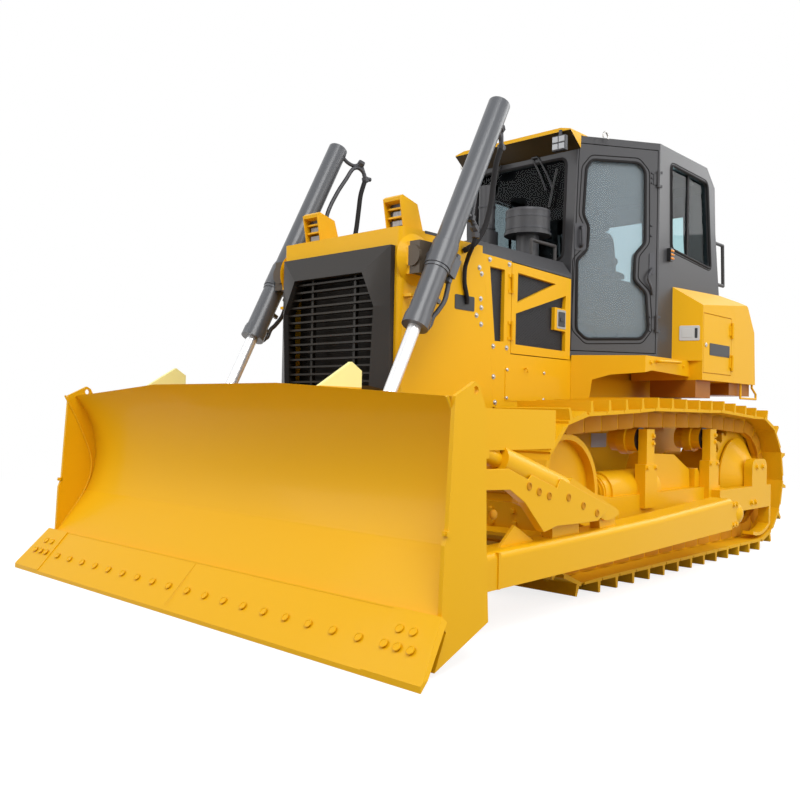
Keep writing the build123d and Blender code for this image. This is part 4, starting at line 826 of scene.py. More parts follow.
def strap_hose():
    """Hose from the middle fitting down the guard's side to its plate."""
    line = ((974, 650, 2040), (972, 630, 1990), (945, 585, 1955), (915, 545, 1925), (908, 524, 1880))
    line += ((905, 520, 1800), (885, 518, 1740), (868, 514, 1700), (862, 508, 1672))
    return tube(line, sizes()["hose"] - 1)


# Pieces on the guard and the hood


def guard_bolts():
    """Bolts on the sides of the guard and the hood."""
    guard = ((743, 1908), (719, 1873), (724, 1720), (717, 1666), (763, 1615), (716, 1564))
    panel = ((639, 1973), (434, 1971), (589, 1439), (449, 1438), (581, 1250), (-435, 1273))
    panel += ((443, 1300), (26, 1298))
    panel += ((444, 1121), (28, 1121), (-430, 1090), (560, 1090))
    return both(join(bolts_on_side(guard), bolts_on_side(panel)))


def blank_plates():
    """Blank plates with rounded corners on both sides of the guard."""
    return both(on_side(plate(786, 972, 1634, 1722, 12, 0, 3)))


def cover_plates():
    """Raised cover on the lower side panel, with its hook."""
    hook = tube(((250, 1314, 0), (250, 1318, 22), (250, 1300, 30), (250, 1292, 24)), 5)
    return both(on_side(join(plate(11, 458, 1104, 1318, 8, -1, 4), hook)))


def wire_screen(outline, pitch, width=3.2):
    """Crossing wires that fill an outline: where each scan line meets the outline's sides, two by two."""
    outline = np.array(outline, float)
    centre = outline.mean(axis=0)
    diagonal = math.sqrt(0.5)
    shapes = []
    for number, angle in enumerate((math.pi / 4, -math.pi / 4)):
        turn = np.array(((math.cos(angle), -math.sin(angle)), (math.sin(angle), math.cos(angle))))
        corners = (outline - centre) @ turn.T
        following = np.roll(corners, -1, axis=0)
        levels = np.arange(corners[:, 1].min() + pitch / 2, corners[:, 1].max(), pitch)
        for level in levels:
            crosses = (corners[:, 1] > level) != (following[:, 1] > level)
            a, b = corners[crosses], following[crosses]
            meets = np.sort(a[:, 0] + (level - a[:, 1]) / (b[:, 1] - a[:, 1]) * (b[:, 0] - a[:, 0]))
            for low, high in zip(meets[::2], meets[1::2]):
                depth = number * width * diagonal
                points, faces = box(low, high, level - width / 2, level + width / 2, depth, depth + 2)
                flat = points[:, :2] @ turn + centre
                shapes.append((np.column_stack([flat, points[:, 2]]), faces))
    return join(*shapes)


def screens():
    """Wire screens behind the windows of the left engine door, and of the fixed panel before it."""
    pitch = sizes()["mesh"]
    triangle = ((344, 1941), (-131, 1920), (-131, 1906), (348, 1722))
    lower = ((361, 1656), (-250, 1858), (-239, 1741), (-112, 1744), (-109, 1611), (-247, 1607))
    lower += ((-248, 1451), (362, 1457))
    front = ((644, 1942), (468, 1940), (470, 1466), (583, 1462))
    door = join(wire_screen(triangle, pitch), wire_screen(lower, pitch))
    fixed = wire_screen(front, pitch)
    return on_side(door, HOOD_SIDE - SCREEN_DEPTH), on_side(fixed, HOOD_SIDE - SCREEN_DEPTH)


def screen_backings():
    """Dark sheets close behind the wires, so that the bay behind them is dim."""
    lower = ((351, 1666), (-240, 1846), (-229, 1751), (-102, 1754), (-99, 1601), (-237, 1597))
    lower += ((-238, 1461), (352, 1467))
    triangle = ((334, 1931), (-111, 1912), (338, 1736))
    front = ((634, 1932), (478, 1930), (480, 1476), (573, 1472))
    triangle, lower, front = (prism(outline, -36, -34) for outline in (triangle, lower, front))
    return on_side(join(triangle, lower)), on_side(front)


def latch():
    """Square pressed latch on the engine door, with its recess and paddle."""
    x0, x1, z0, z1 = -236, -130, 1612, 1742
    rim = plate(x0, x1, z0, z1, 10, -2, 3)
    paddle = plate(x0 + 14, x1 - 14, z0 + 14, z1 - 14, 8, 2, 7)
    bar = box(x0 + 30, x1 - 30, z0 + 50, z0 + 76, 6, 13)
    return on_side(rim), on_side(join(paddle, bar))


def grille_bosses():
    """Round bosses on the mask's cheeks."""
    boss = turned(((27, -6), (27, 5), (22, 8), (19, 4), (10, 4)), 20)
    return both(standing(boss, [(1500, 360, 1722)], (1, 0, 0)))


def lamps():
    """Three stacked bars in each headlamp housing, with ribbed lenses in the lower two."""
    shapes, lenses = [], []
    lit = (2080, 2134)
    for low in (*lit, 2184):
        shapes.append(box(1288, 1318, 294, 408, low, low + 36))
        if low in lit:
            lenses += [box(1317, 1322, 318 + 11 * i, 326 + 11 * i, low + 4, low + 32) for i in range(7)]
    return both(join(*shapes)), both(join(*lenses))


def guard_slots():
    """Black plates near the guard's upper front corner, painted shade in place of its dark slots."""
    slots = ((1338, 1374, 1983, 2003), (1275, 1372, 1950, 1972), (1132, 1250, 2034, 2050))
    return both(on_side(join(*[plate(*slot, 7, -2, 1.5) for slot in slots])))


# Pieces on the cab


DOOR_GLASS = (
    (-52, 2780), (-10, 2838), (355, 2846), (408, 2792), (415, 2272), (337, 2184), (331, 2000), (427, 1913),
    (450, 1650), (397, 1580), (-37, 1562), (-109, 1625), (-112, 2120), (-34, 2197), (-25, 2362), (-69, 2441),
)


def widened(outline, by):
    """An outline moved out along the normals at its points."""
    outline = np.array(outline, float)
    tangent = np.roll(outline, -1, axis=0) - np.roll(outline, 1, axis=0)
    tangent /= np.linalg.norm(tangent, axis=1)[:, None]
    normal = np.column_stack([tangent[:, 1], -tangent[:, 0]])
    inside = outline.mean(axis=0)
    if ((outline - inside) * normal).sum() < 0:
        normal = -normal
    return outline + normal * by


def gasket(outline, radius, corner=30):
    """A round strip along a window's outline."""
    line = rounded(outline, corner)
    line = np.column_stack([line, np.zeros(len(line))])
    return carried(line, ring(radius, 8), closed=True, side=UP)


def door_trim():
    """Rubber round the left door's glass, and the raised frame line outside it."""
    return on_door(join(gasket(DOOR_GLASS, 11), gasket(widened(DOOR_GLASS, 34), 4)))


def door_hardware():
    """Recessed handle, lock case, hinge bolts and inside lever of the left door."""
    recess = plate(-136, -46, 2186, 2377, 22, -1, 4)
    grip = tube(((-88, 2215, 4), (-88, 2222, 30), (-88, 2280, 36), (-88, 2340, 30), (-88, 2350, 4)), 12)
    lock = plate(448, 492, 2050, 2200, 14, -1, 6)
    heights = (2781, 2745, 2709, 2400, 2326, 1740, 1690, 1640)
    studs = repeated(stud(9, 8), [(462, height, 0) for height in heights])
    lever = tube(((470, 2090, 8), (440, 2050, 26), (430, 2005, 28), (458, 1950, 20), (476, 1900, 8)), 9)
    return on_door(join(recess, grip, lock, studs, lever))


def door_latch_case():
    """Latch case on the inside of the left door's rear frame."""
    outline = ((338, 1990), (440, 1925), (470, 1990), (470, 2190), (430, 2250), (344, 2180))
    return on_door(prism(rounded(outline, 18), -70, -52))


def side_windows():
    """Rubber and sliding sash of the rear side windows."""
    outline = ((-1091, 2888), (-1112, 2267), (-1800, 2210), (-1716, 2877))
    sash = box(-1425, -1395, 2245, 2878, -24, -12)
    return both(on_side(join(gasket(outline, 10, 45), gasket(widened(outline, 28), 4, 70), sash), CAB_SIDE))


def end_window(half, low, high, depth):
    """Rubber round a window across the cab, whose X follows from its height."""
    line = rounded(rectangle(-half, half, low, high), 60)
    return carried(np.column_stack([depth(line[:, 1]), line]), ring(11, 8), closed=True, side=(1, 0, 0))


def front_depth(z):
    """X of the leaning windscreen at a height."""
    return mix(*CAB_FRONT, (z - CAB_FLOOR) / (CAB_ROOF - CAB_FLOOR))


def rear_depth(z):
    """X of the cab's folded rear wall at a height."""
    return np.interp(z, *zip(*CAB_REAR))


def end_windows():
    """Rubber round the windscreen and the rear window."""
    return join(end_window(400, 2130, 2860, front_depth), end_window(600, 2120, 2800, rear_depth))


def wipers():
    """Wiper arms that hang from the top of the windscreen, with two blades and a link at the top."""
    shapes = []
    for top, low in ((110, 240), (-170, -290), (160, 300)):
        shapes.append(tube(((-366, top, 2905), (-374, mix(top, low, 0.5), 2780), (-358, low, 2650)), 6))
    for y in (300, -290):
        shapes.append(tube(((-362, y + 30, 2790), (-356, y, 2650), (-350, y - 26, 2520)), 7))
    shapes.append(tube(((-366, 110, 2905), (-366, 160, 2905)), 10, smooth=False))
    return join(*shapes)


def work_lamps():
    """Work lamps under the visor and at the cab's rear, with their lenses."""
    shapes, lenses = [], []
    for y in (441, -250):
        shapes.append(box(-240, -204, y - 54, y + 54, 2862, 2968))
        shapes.append(box(-236, -220, y - 12, y + 12, 2966, 3012))
        for z in (2870, 2920):
            for side in (-26, 26):
                lenses.append(box(-206, -198, y + side - 22, y + side + 22, z, z + 40))
    for y in (330, -330):
        shapes.append(box(-1900, -1862, y - 60, y + 60, 2800, 2880))
        lenses.append(box(-1906, -1898, y - 50, y + 50, 2808, 2872))
    return join(*shapes), join(*lenses)


def headliner():
    """Padded roof lining, with the header over the rear window."""
    half = ((-430, 440), (-850, 725), (-1868, 725))
    lining = prism(half + tuple((x, -y) for x, y in reversed(half)), 2888, 2925)
    header = box(-1842, -1822, -725, 725, 2665, 2890)
    return join(lining, header)


def pad(centre, half, channels=0.0, tilt=0.0):
    """A crowned pad.

    Signed powers of cosines and sines give a boxy form with soft edges. Its sides pull in between the
    corners, and sewn channels press its upper face where cos(channels * pi * y) is near zero.
    """
    turn = np.linspace(0, 2 * np.pi, 48, endpoint=False)[None, :]
    rise = np.linspace(-np.pi / 2 + 0.03, np.pi / 2 - 0.03, 25)[:, None]
    soft = lambda value: np.sign(value) * np.abs(value) ** 0.42
    x = soft(np.cos(rise)) * soft(np.cos(turn))
    y = soft(np.cos(rise)) * soft(np.sin(turn))
    z = soft(np.sin(rise)) * np.ones_like(x)
    z = np.where(z > 0, z * (1 - 0.12 * (x**2 + y**2)), z)
    if channels:
        z = z - 0.10 * np.exp(-(np.cos(channels * np.pi * y) ** 2) * 30) * (z > 0)
    points = np.stack([x * (1 - 0.05 * (1 - y**2)), y * (1 - 0.05 * (1 - x**2)), z], axis=-1)
    points = points * np.array(half, float)
    c, s = math.cos(tilt), math.sin(tilt)
    x, y, z = np.moveaxis(points, -1, 0)
    return capped(np.stack([x * c + z * s, y, z * c - x * s], -1) + np.array(centre, float))


def seat_pads():
    """The operator's cushion, back, head rest and arm rests, each with its centre, half sizes and lean."""
    lean = math.radians(80)
    return (
        ("seat_cushion", pad((-1095, 0, 1930), (232, 246, 58), 1.5)),
        ("seat_back", pad((-1398, 0, 2235), (305, 236, 55), 1.5, -lean)),
        ("seat_head", pad((-1465, 0, 2640), (96, 126, 42), 0, -lean)),
        ("seat_arm_left", pad((-1170, 315, 2140), (205, 28, 28))),
        ("seat_arm_right", pad((-1170, -315, 2140), (205, 28, 28))),
    )


def seat_frame():
    """Pedestal with its bellows, and the arm rests' posts."""
    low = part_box("operator_seat")[0][2] / MM
    folds = [(level, 172 if i % 2 else 150) for i, level in enumerate(np.linspace(low + 60, 1868, 9))]
    depth, width = 168, 188
    outline = rounded(rectangle(-depth, depth, -width, width), 40)
    rows = [np.column_stack([outline * reach / width, np.full(len(outline), level)]) for level, reach in folds]
    bellows = capped(np.stack(rows) + np.array((-1110, 0, 0)))
    base = box(-1280, -940, -188, 188, low + 1, low + 62)
    posts = [box(-1362, -1298, side * 268 - 30, side * 268 + 30, 1962, 2118) for side in (-1, 1)]
    return join(base, bellows, *posts)


def roof_eyes():
    """Lifting eyes on the cab roof."""
    eye = tube(((-30, 0, 0), (-30, 0, 22), (-18, 0, 38), (0, 0, 44), (18, 0, 38), (30, 0, 22), (30, 0, 0)), 7)
    return repeated(eye, [(x, y, 2980) for x in (-500, -1640) for y in (640, -640)])


def signal_box():
    """Small lamp block on the cab's side behind the door, with its amber buttons."""
    buttons = repeated(stud(9, 8), [(x, z, 30) for x in (-1078, -1052) for z in (2185, 2213, 2241)])
    return on_side(plate(-1090, -1040, 2165, 2262, 8, -1, 30), CAB_SIDE), on_side(buttons, CAB_SIDE)


def drum_trim():
    """Bands and the lower lip of the air cleaner's drum, and the cap of the stack."""
    band = turned(((153, -7), (158, -7), (158, 7), (153, 7)), 40)
    lid = turned(((60, 0), (150, 0), (157, -10), (157, 0), (150, 9), (40, 16)), 40)
    shapes = [repeated(band, [(-140, 240, 2318), (-140, 240, 2400)]), repeated(lid, [(-140, 240, 2445)])]
    mouth = turned(((61, 0), (65, 0), (65, 14), (61, 14)), 32)
    shapes.append(repeated(mouth, [(-190, -160, 2380), (-190, -160, 2540)]))
    return join(*shapes)


# Pieces on the boxes, the tank and the deck


def box_trim():
    """Latch rim and paddle on each box's slanted front face, and a black plate of painted shade for the hole in
    the rim.
    """
    along = np.array((-82.0, 200.0, 0.0)) / math.hypot(82, 200)
    out = np.array((200.0, 82.0, 0.0)) / math.hypot(200, 82)
    rim = join(plate(52, 196, 1588, 1698, 12, -1, 4), plate(70, 148, 1610, 1676, 8, 3, 8))
    hole = plate(160, 180, 1606, 1680, 6, 3, 6)
    return tuple(both(placed(shape, (-1140, 850, 0), along, UP, out)) for shape in (rim, hole))


def box_door_plate():
    """Blank plate on the left box door."""
    return on_side(plate(-1706, -1345, 1489, 1578, 8, 0, 3), BOX_SIDE)


def box_door_lock():
    """Round key lock at the box door's front edge."""
    return standing(turned(((16, -1), (16, 6), (12, 9), (5, 9)), 18), [(-1275, BOX_SIDE, 1560)])


def deck_trim():
    """Grab handle on the deck's edge, and a bolt at each end of its skirt."""
    line = ((-690, 958, 1405), (-690, 985, 1407), (-840, 990, 1412), (-1000, 985, 1417), (-1000, 958, 1415))
    return both(join(tube(line, 10), standing(bolt(12), [(-620, 950, 1395), (-1120, 950, 1395)])))


def tank_cap():
    """Filler cap on the rear tank."""
    cap = turned(((62, 0), (62, 14), (52, 14), (52, 40), (44, 48), (12, 48)), 28)
    return repeated(cap, [(-2030, 420, 1925)])


# Pieces on the tracks


def chain_stations():
    """Point and heading of each shoe on the chain's pitch line, found by walking its runs and arcs."""
    wheels = [(SPROCKET_X, AXLE_Z, PITCH_RADIUS), (IDLER_X, AXLE_Z, PITCH_RADIUS)]
    wheels += [(x, CARRIER_Z, CARRIER_BELT) for x in CARRIERS]
    following = wheels[1:] + wheels[:1]
    headings = []
    for (x, z, r), (x2, z2, r2) in zip(wheels, following):
        dx, dz = x2 - x, z2 - z
        headings.append((math.atan2(dz, dx) + math.asin((r - r2) / math.hypot(dx, dz))) % (2 * math.pi))
    pieces = []
    for i, ((x, z, r), (x2, z2, r2)) in enumerate(zip(wheels, following)):
        turn = headings[i]
        outward = np.array((math.sin(turn), -math.cos(turn)))
        start = np.array((x, z)) + r * outward
        end = np.array((x2, z2)) + r2 * outward
        sweep = (headings[(i + 1) % len(wheels)] - turn) % (2 * math.pi)
        pieces.append((start, turn, float(np.linalg.norm(end - start)), None))
        pieces.append((np.array((x2, z2)), turn, r2 * sweep, r2))
    total = sum(length for _, _, length, _ in pieces)
    stations = []
    for number in range(SHOES):
        distance = (number + SHOE_PHASE) * total / SHOES % total
        for place, turn, length, radius in pieces:
            if distance <= length:
                break
            distance -= length
        if radius is None:
            point = place + distance * np.array((math.cos(turn), math.sin(turn)))
        else:
            turn += distance / radius
            point = place + radius * np.array((math.sin(turn), -math.cos(turn)))
        stations.append((*point, turn))
    return stations


def along_chain(shape, side):
    """A surface made with x along the chain, y across it and z out of it, laid at each shoe."""
    shapes = []
    for x, z, turn in chain_stations():
        forward = (math.cos(turn), 0, math.sin(turn))
        outward = (math.sin(turn), 0, -math.cos(turn))
        shapes.append(placed(shape, (x, side * HALF_GAUGE, z), forward, OUT, outward))
    return join(*shapes)


def track_links(side):
    """Bulged link faces on both sides of the rails: 97 + 17 cos(0.94 pi x / pitch) from the chain's middle."""
    reach = TRACK_PITCH / 2 - 7
    x = np.linspace(-reach, reach, 9)
    bulge = 97 + 17 * np.cos(np.pi * x / TRACK_PITCH * 0.94)
    outlines = [np.vstack([np.column_stack([x, face * bulge]), ((reach, face * 90), (-reach, face * 90))])
                for face in (-1, 1)]
    return along_chain(join(*[prism(outline, -52, 44) for outline in outlines]), side)


def shoe_bolts(side):
    """Four bolts on the outside of each shoe."""
    head = turned(((17, -1), (17, 11), (13, 15), (4, 15)), 6)
    return along_chain(repeated(head, [(x, y, 77) for x in (-18, 52) for y in (-74, 74)]), side)


def frame_bolts():
    """Bolts on the track frames: bearings, rear boxes, post feet and the recoil housing."""
    rear = ((-1940, 648), (-2062, 648), (-1845, 376), (-1925, 376))
    shapes = [standing(bolt(17, 14), [(x, 1185, z) for x, z in rear])]
    small = bolt(13, 11)
    for x in CARRIERS:
        shapes.append(standing(small, [(x + dx, 1120, 690) for dx in (-58, 58)]))
        shapes.append(standing(small, [(x - 36, 1112, z) for z in (845, 895)]))
    shapes.append(repeated(bolt(13, 12), [(x, 1030, 520) for x in (-420, -60, 60, 140)]))
    cap = turned(((112, 0), (112, 18), (96, 18), (96, 30), (30, 34)), 28)
    shapes.append(standing(cap, [(148, HALF_GAUGE, 540)], (1, 0, 0)))
    return both(join(*shapes))


def roller_seals():
    """Dark seal rings on the carrier rollers' outer faces."""
    seal = turned(((52, 0), (80, 0), (80, 5), (52, 5)), 28)
    return both(standing(seal, [(x, 1036, CARRIER_Z) for x in CARRIERS]))


def idler_hub():
    """Cap on the idler's outer end, with its ring of bolts."""
    cap = turned(((84, 0), (84, 10), (60, 22), (20, 24)), 28)
    angle, circle = np.arange(6) * np.pi / 3, 62
    x, z = IDLER_X + circle * np.cos(angle), AXLE_Z + circle * np.sin(angle)
    places = np.column_stack([x, np.full(6, 1092), z])
    return both(join(standing(cap, [(IDLER_X, 1088, AXLE_Z)]), standing(bolt(8, 7), places)))


def hull_plate():
    """Blank grey plate on the hull's side, seen over the chain."""
    return both(on_side(plate(-992, -773, 786, 890, 6, 0, 3), HULL_SIDE))


# Pieces on the arms


def tilt_guard():
    """Plate outside the tilt cylinder, from its bracket to the blade, with a folded lower edge."""
    outline = ((1985, 772), (1699, 768), (1541, 712), (1514, 733), (1295, 660), (1262, 706), (806, 548))
    outline += ((800, 522), (900, 470), (1085, 470), (1290, 474)) + GUARD_FOLD
    path = [(x, 1395, z) for x, z in ((1290, 480),) + GUARD_FOLD]
    fold = carried(path, rectangle(0, 40, 0, 8), side=OUT)
    return join(on_side(prism(outline, GUARD_PLATE - 8, GUARD_PLATE), 0), fold)


def tilt_bolts():
    """Round bolt heads along the tilt guard, and the pin cap of the tilt cylinder."""
    head = turned(((20, -2), (20, 3), (15, 5), (12, 1), (4, 1)), 14)
    spots = ((1535, 680), (1452, 650), (1365, 625), (1191, 608), (1050, 558), (914, 511))
    heads = standing(head, [(x, GUARD_PLATE, z) for x, z in spots])
    return join(heads, standing(stud(24, 14), [(1762, 1400, 560)]))


def tilt_hoses():
    """Two hoses under the guard, from the blade back to the tilt cylinder."""
    line = np.array(((2040, 1362, 960), (1900, 1364, 940), (1760, 1364, 905), (1640, 1362, 860)))
    return join(*[tube(line - (0, 0, shift), sizes()["hose"]) for shift in (0, 34)])


def arm_bolts():
    """Cap bolts at the push arm's ball socket."""
    return standing(bolt(15, 12), [(x, ARM_SIDE, z) for x in (-950, -900) for z in (440, 305)])


# Operators


class DozerOperator:
    """What the operators share."""

    bl_options = {"REGISTER", "UNDO"}


class DOZER_OT_paint(DozerOperator, bpy.types.Operator):
    """Give every node of the frame its finish"""

    bl_idname = "dozer.paint"
    bl_label = "Paint the frame"

    def execute(self, context):
        paint_frame()
        return {"FINISHED"}


class DOZER_OT_blade(DozerOperator, bpy.types.Operator):
    """Add the blade's bolts, seams and welds, and the guard and hoses of its tilt cylinder"""

    bl_idname = "dozer.blade"
    bl_label = "Blade fittings"

    def execute(self, context):
        make("edge_bolts", edge_bolts(), yellow(), "blade", smooth=True)
        make("edge_seams", edge_seams(), track_yellow(), "blade")
        make("blade_welds", blade_extras(), yellow(), "blade", smooth=True)
        # The guard's bolt heads take brown painted shade, so they read as dark holes
        make("tilt_bolts", tilt_bolts(), painted_shade_brown(), "blade", smooth=True)
        make("tilt_guard", tilt_guard(), yellow(), "blade", bevel=3)
        make("tilt_hoses", tilt_hoses(), rubber(), "blade", smooth=True)
        make("arm_socket_bolts", both(arm_bolts()), yellow(), "blade")
        return {"FINISHED"}


class DOZER_OT_lift(DozerOperator, bpy.types.Operator):
    """Add the lift cylinders' collars, ports, pipes and hoses"""

    bl_idname = "dozer.lift"
    bl_label = "Lift cylinder fittings"

    def execute(self, context):
        fittings = barrel_fittings()
        make_sides("barrel_fittings", fittings, cylinder_grey(), "lift_cylinder", smooth=True)
        make_sides("barrel_pipes", barrel_pipes(), dark_steel(), "lift_cylinder", smooth=True)
        make_sides("lift_elbow", top_elbow(), dark_steel(), "lift_cylinder", smooth=True)
        hose = join(side_hose(), middle_fitting())
        make_sides("side_hose", hose, dark_steel(), "lift_cylinder", smooth=True)
        for side, sign in SIDES:
            hoses = (
                ("drop_hose", drop_hose(), (660, 590, 2600), (860, 550, 2060)),
                ("strap_hose", strap_hose(), (972, 630, 2020), (915, 545, 1925)),
            )
            for name, shape, start, end in hoses:
                shape = shape if sign > 0 else flipped(shape)
                spots = [tuple(MM * part for part in (x, sign * y, z)) for x, y, z in (start, end)]
                bodies = ("lift_cylinder_" + side, "chassis", *spots)
                make(name + "_" + side, shape, rubber(), bodies, smooth=True)
        return {"FINISHED"}


class DOZER_OT_hood(DozerOperator, bpy.types.Operator):
    """Add the bolts, plates, screens, latches and lamps of the guard and hood"""

    bl_idname = "dozer.hood"
    bl_label = "Guard and hood fittings"

    def execute(self, context):
        make("side_bolts", guard_bolts(), steel(), "chassis")
        make("guard_plates", blank_plates(), blank_black(), "chassis")
        make("side_covers", cover_plates(), yellow(), "chassis")
        door, fixed = screens()
        make_sides("door_screen", door, dark_steel(), "engine_door")
        make("panel_screens", both(fixed), dark_steel(), "chassis")
        door, fixed = screen_backings()
        make_sides("door_backing", door, cab_grey(), "engine_door")
        make("panel_backing", both(fixed), cab_grey(), "chassis")
        rim, paddle = latch()
        make_sides("door_latch", rim, steel(), "engine_door", bevel=1)
        make_sides("door_latch_paddle", paddle, cab_grey(), "engine_door", bevel=1)
        make("grille_bosses", grille_bosses(), cab_grey(), "chassis", smooth=True)
        bodies, lenses = lamps()
        make("headlamp_bodies", bodies, dark_steel(), "chassis", bevel=3)
        make("headlamp_lenses", lenses, lamp_lens(), "chassis")
        # The slots are black plates of painted shade
        make("guard_slots", guard_slots(), blank_black(), "chassis")
        return {"FINISHED"}


class DOZER_OT_cab(DozerOperator, bpy.types.Operator):
    """Add the cab's rubbers, handles, wipers, lamps and eyes"""

    bl_idname = "dozer.cab"
    bl_label = "Cab fittings"

    def execute(self, context):
        make_sides("door_rubber", door_trim(), rubber(), "cab_door", smooth=True)
        make_sides("door_hardware", door_hardware(), dark_steel(), "cab_door", smooth=True)
        make_sides("door_lock_case", door_latch_case(), cab_grey(), "cab_door")
        make("side_window_rubber", side_windows(), rubber(), "chassis", smooth=True)
        make("end_window_rubber", end_windows(), rubber(), "chassis", smooth=True)
        make("wipers", wipers(), blank_black(), "chassis", smooth=True)
        bodies, lenses = work_lamps()
        make("work_lamps", bodies, dark_steel(), "chassis", bevel=4)
        make("work_lamp_lenses", lenses, lamp_lens(), "chassis", bevel=2)
        make("roof_eyes", roof_eyes(), steel(), "chassis", smooth=True)
        make("headliner", headliner(), rubber(), "chassis", bevel=8)
        frame_piece = make("seat_frame", seat_frame(), rubber(), "chassis")
        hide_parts("operator_seat")
        for name, shape in seat_pads():
            make(name, shape, seat_cloth(), "chassis", smooth=True)
        case, buttons = signal_box()
        make("signal_box", case, blank_black(), "chassis")
        amber = plain("Amber", (0.85, 0.30, 0.02), roughness=0.3)
        make("signal_buttons", buttons, amber, "chassis", smooth=True)
        make("cleaner_bands", drum_trim(), dark_steel(), "chassis", smooth=True)
        return {"FINISHED"}


class DOZER_OT_body(DozerOperator, bpy.types.Operator):
    """Add the latches, plates and handles of the boxes, tank and deck"""

    bl_idname = "dozer.body"
    bl_label = "Box and deck fittings"

    def execute(self, context):
        rims, holes = box_trim()
        make("box_latches", rims, steel(), "chassis", bevel=1)
        # The latch holes are black plates of painted shade
        make("box_latch_holes", holes, blank_black(), "chassis")
        make_sides("box_plate", box_door_plate(), blank_black(), "box_door")
        make_sides("box_lock", box_door_lock(), steel(), "box_door", smooth=True)
        make("deck_handles", deck_trim(), yellow(), "chassis", smooth=True)
        make("tank_cap", tank_cap(), blank_black(), "chassis", smooth=True)
        make("hull_plates", hull_plate(), plain("Pale plate", (0.45, 0.45, 0.46)), "chassis")
        return {"FINISHED"}


class DOZER_OT_tracks(DozerOperator, bpy.types.Operator):
    """Add the links, bolts, hub caps and seal rings of the tracks and their frames"""

    bl_idname = "dozer.tracks"
    bl_label = "Track fittings"

    def execute(self, context):
        for side, sign in SIDES:
            # The links take brown painted shade from the shoes over them
            make("track_links_" + side, track_links(sign), painted_shade_brown(), "chassis", smooth=True)
            make("shoe_bolts_" + side, shoe_bolts(sign), track_yellow(), "chassis")
        make("frame_bolts", frame_bolts(), yellow(), "chassis", smooth=True)
        make("idler_hubs", idler_hub(), yellow(), "chassis", smooth=True)
        make("roller_seals", roller_seals(), blank_black(), "chassis", smooth=True)
        return {"FINISHED"}


# Stage

CAMERA_PLACE = Vector((4.9387, 3.7667, 1.0078))
CAMERA_YAW = math.radians(-137.073)
CAMERA_PITCH = math.radians(0.895)
CAMERA_ROLL = math.radians(1.158)
LENS = 39.15
SENSOR = 36.0
LIGHT_SIZE = 5.0


def make_camera():
    """The camera at the photograph's viewing angle."""
    level = math.cos(CAMERA_PITCH)
    forward = Vector((math.cos(CAMERA_YAW) * level, math.sin(CAMERA_YAW) * level, math.sin(CAMERA_PITCH)))
    right = Vector((math.sin(CAMERA_YAW), -math.cos(CAMERA_YAW), 0))
    up = right.cross(forward)
    turned_right = math.cos(CAMERA_ROLL) * right + math.sin(CAMERA_ROLL) * up
    turned_up = -math.sin(CAMERA_ROLL) * right + math.cos(CAMERA_ROLL) * up
    camera = bpy.data.objects.new("Camera", bpy.data.cameras.new("Camera"))
    camera.data.lens = LENS
    camera.data.sensor_width = SENSOR
    camera.data.clip_end = 200
    turn = Matrix((turned_right, turned_up, -forward)).transposed().to_4x4()
    camera.matrix_world = Matrix.Translation(CAMERA_PLACE) @ turn
    bpy.context.scene.collection.objects.link(camera)
    bpy.context.scene.camera = camera


def seen_factor(tree):
    """1 for camera, glossy and transmission rays, else 0."""
    path = add_node(tree, "LightPath").outputs
    either = maths(tree, "MAXIMUM", path["Is Camera Ray"], path["Is Glossy Ray"])
    return maths(tree, "MAXIMUM", either, path["Is Transmission Ray"])


def far_factor(tree):
    """0 near the machine and 1 far from it, over a ring of the floor between two distances in metres."""
    near, far = 4.0, 9.0
    length = add_node(tree, "VectorMath", {0: own_place(tree)}, operation="LENGTH").outputs["Value"]
    return add_node(tree, "MapRange", {"From Min": near, "From Max": far, "Value": length}).outputs["Result"]


def mixed_shader(tree, factor, first, second):
    """A shader mix, from the first node's shader at 0 to the second's at 1."""
    return add_node(tree, "MixShader", {"Fac": factor, 1: first.outputs[0], 2: second.outputs[0]})


def make_floor():
    """A wide pale floor that keeps the machine's shadow."""
    half, below = 40.0, 0.002
    mesh = bpy.data.meshes.new("Floor")
    mesh.from_pydata([(x, y, 0) for x, y in rectangle(-half, half, -half, half)], [], [[0, 1, 2, 3]])
    floor = bpy.data.objects.new("Floor", mesh)
    floor.location.z = -below
    bpy.context.scene.collection.objects.link(floor)
    values = {"Base Color": (0.34, 0.34, 0.34, 1), "Roughness": 1.0, "Specular IOR Level": 0.0}
    material, shader = new_material("Floor", values)
    tree = material.node_tree
    glow = add_node(tree, "Emission", {"Color": (0.80, 0.80, 0.80, 1)})
    white = add_node(tree, "Emission", {"Color": (1, 1, 1, 1)})
    lit = add_node(tree, "AddShader", {0: shader.outputs[0], 1: glow.outputs[0]})
    fade = mixed_shader(tree, far_factor(tree), lit, white)
    choose = mixed_shader(tree, seen_factor(tree), shader, fade)
    feed(tree.nodes["Material Output"], {"Surface": choose.outputs[0]})
    mesh.materials.append(material)
    floor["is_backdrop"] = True


def make_world():
    """An even sky: white where it is seen, and softer as a light."""
    world = bpy.data.worlds.new("Studio")
    bpy.context.scene.world = world
    world.use_nodes = True
    tree = world.node_tree
    seen = tree.nodes["Background"]
    feed(seen, {"Color": (1, 1, 1, 1), "Strength": 1.0})
    light = add_node(tree, "Background", {"Color": (0.93, 0.96, 1, 1), "Strength": 0.45})
    choose = mixed_shader(tree, seen_factor(tree), light, seen)
    feed(tree.nodes["World Output"], {"Surface": choose.outputs[0]})


def area_light(name, place, target, power):
    """A soft square light aimed at a point, which doesn't show through glass."""
    light = bpy.data.lights.new(name, "AREA")
    light.size = LIGHT_SIZE
    light.energy = power
    lamp = bpy.data.objects.new(name, light)
    lamp.location = place
    lamp.visible_transmission = False
    aim = Vector(target) - Vector(place)
    lamp.rotation_euler = aim.to_track_quat("-Z", "Y").to_euler()
    bpy.context.scene.collection.objects.link(lamp)


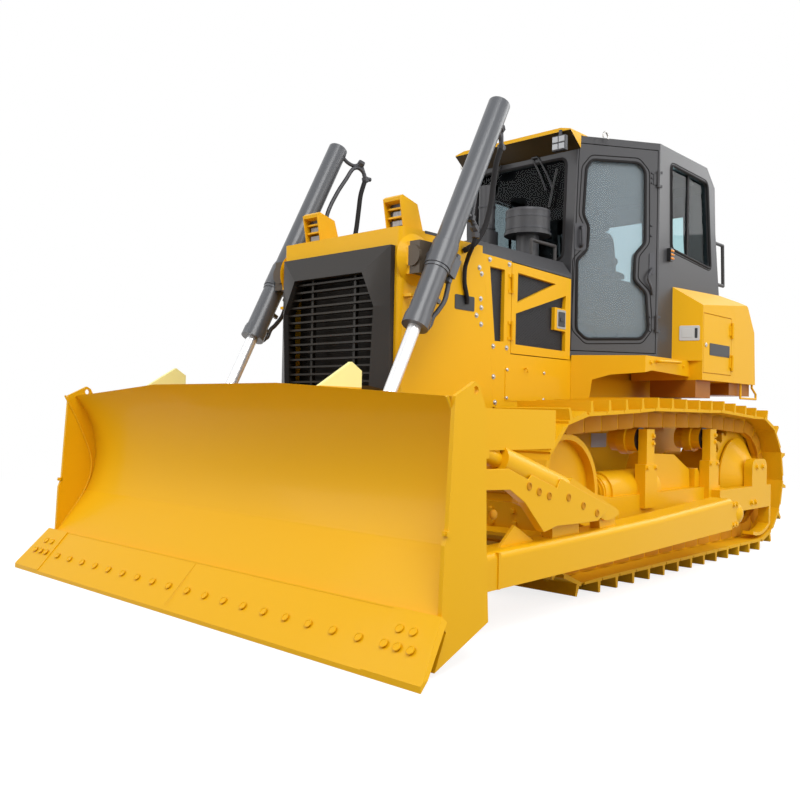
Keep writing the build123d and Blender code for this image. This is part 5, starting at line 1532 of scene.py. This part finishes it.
class DOZER_OT_stage(DozerOperator, bpy.types.Operator):
    """Add the floor, the sky, the lights and the camera"""

    bl_idname = "dozer.stage"
    bl_label = "Stage"

    def execute(self, context):
        context.scene.view_settings.view_transform = "Standard"
        make_camera()
        make_floor()
        make_world()
        area_light("Key", (5.0, 5.5, 8.0), (0, 0, 1), 560)
        area_light("Fill", (7.0, -3.0, 4.0), (0, 0, 1), 195)
        area_light("Side", (-1.5, 8.0, 3.5), (-0.5, 0, 1.2), 230)
        area_light("Rear", (-7.0, 3.0, 6.0), (0, 0, 1), 260)
        return {"FINISHED"}


class DOZER_PT_panel(bpy.types.Panel):
    """Buttons and settings in the sidebar."""

    bl_label = "Dozer dressing"
    bl_idname = "DOZER_PT_panel"
    bl_space_type = "VIEW_3D"
    bl_region_type = "UI"
    bl_category = "Dozer"

    def draw(self, context):
        for group in (context.scene.dozer_paint, context.scene.dozer_sizes):
            for name in group.__annotations__:
                self.layout.prop(group, name)
        for operator in OPERATORS:
            self.layout.operator(operator.bl_idname)


OPERATORS = (
    DOZER_OT_stage,
    DOZER_OT_paint,
    DOZER_OT_blade,
    DOZER_OT_lift,
    DOZER_OT_hood,
    DOZER_OT_cab,
    DOZER_OT_body,
    DOZER_OT_tracks,
)
CLASSES = (DozerPaint, DozerSizes) + OPERATORS + (DOZER_PT_panel,)


def register():
    """Adds the classes and the settings."""
    for kind in CLASSES:
        bpy.utils.register_class(kind)
    bpy.types.Scene.dozer_paint = PointerProperty(type=DozerPaint)
    bpy.types.Scene.dozer_sizes = PointerProperty(type=DozerSizes)


def unregister():
    """Takes them away."""
    del bpy.types.Scene.dozer_sizes
    del bpy.types.Scene.dozer_paint
    for kind in reversed(CLASSES):
        bpy.utils.unregister_class(kind)


def corners():
    """The shown object's lowest and highest corner as plain lists."""
    return [list(map(float, corner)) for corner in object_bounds()]


def main():
    """Runs every operator in order."""
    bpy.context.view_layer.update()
    register()
    for operator in OPERATORS:
        group, name = operator.bl_idname.split(".")
        getattr(getattr(bpy.ops, group), name)()


if __name__ == "__main__":
    main()
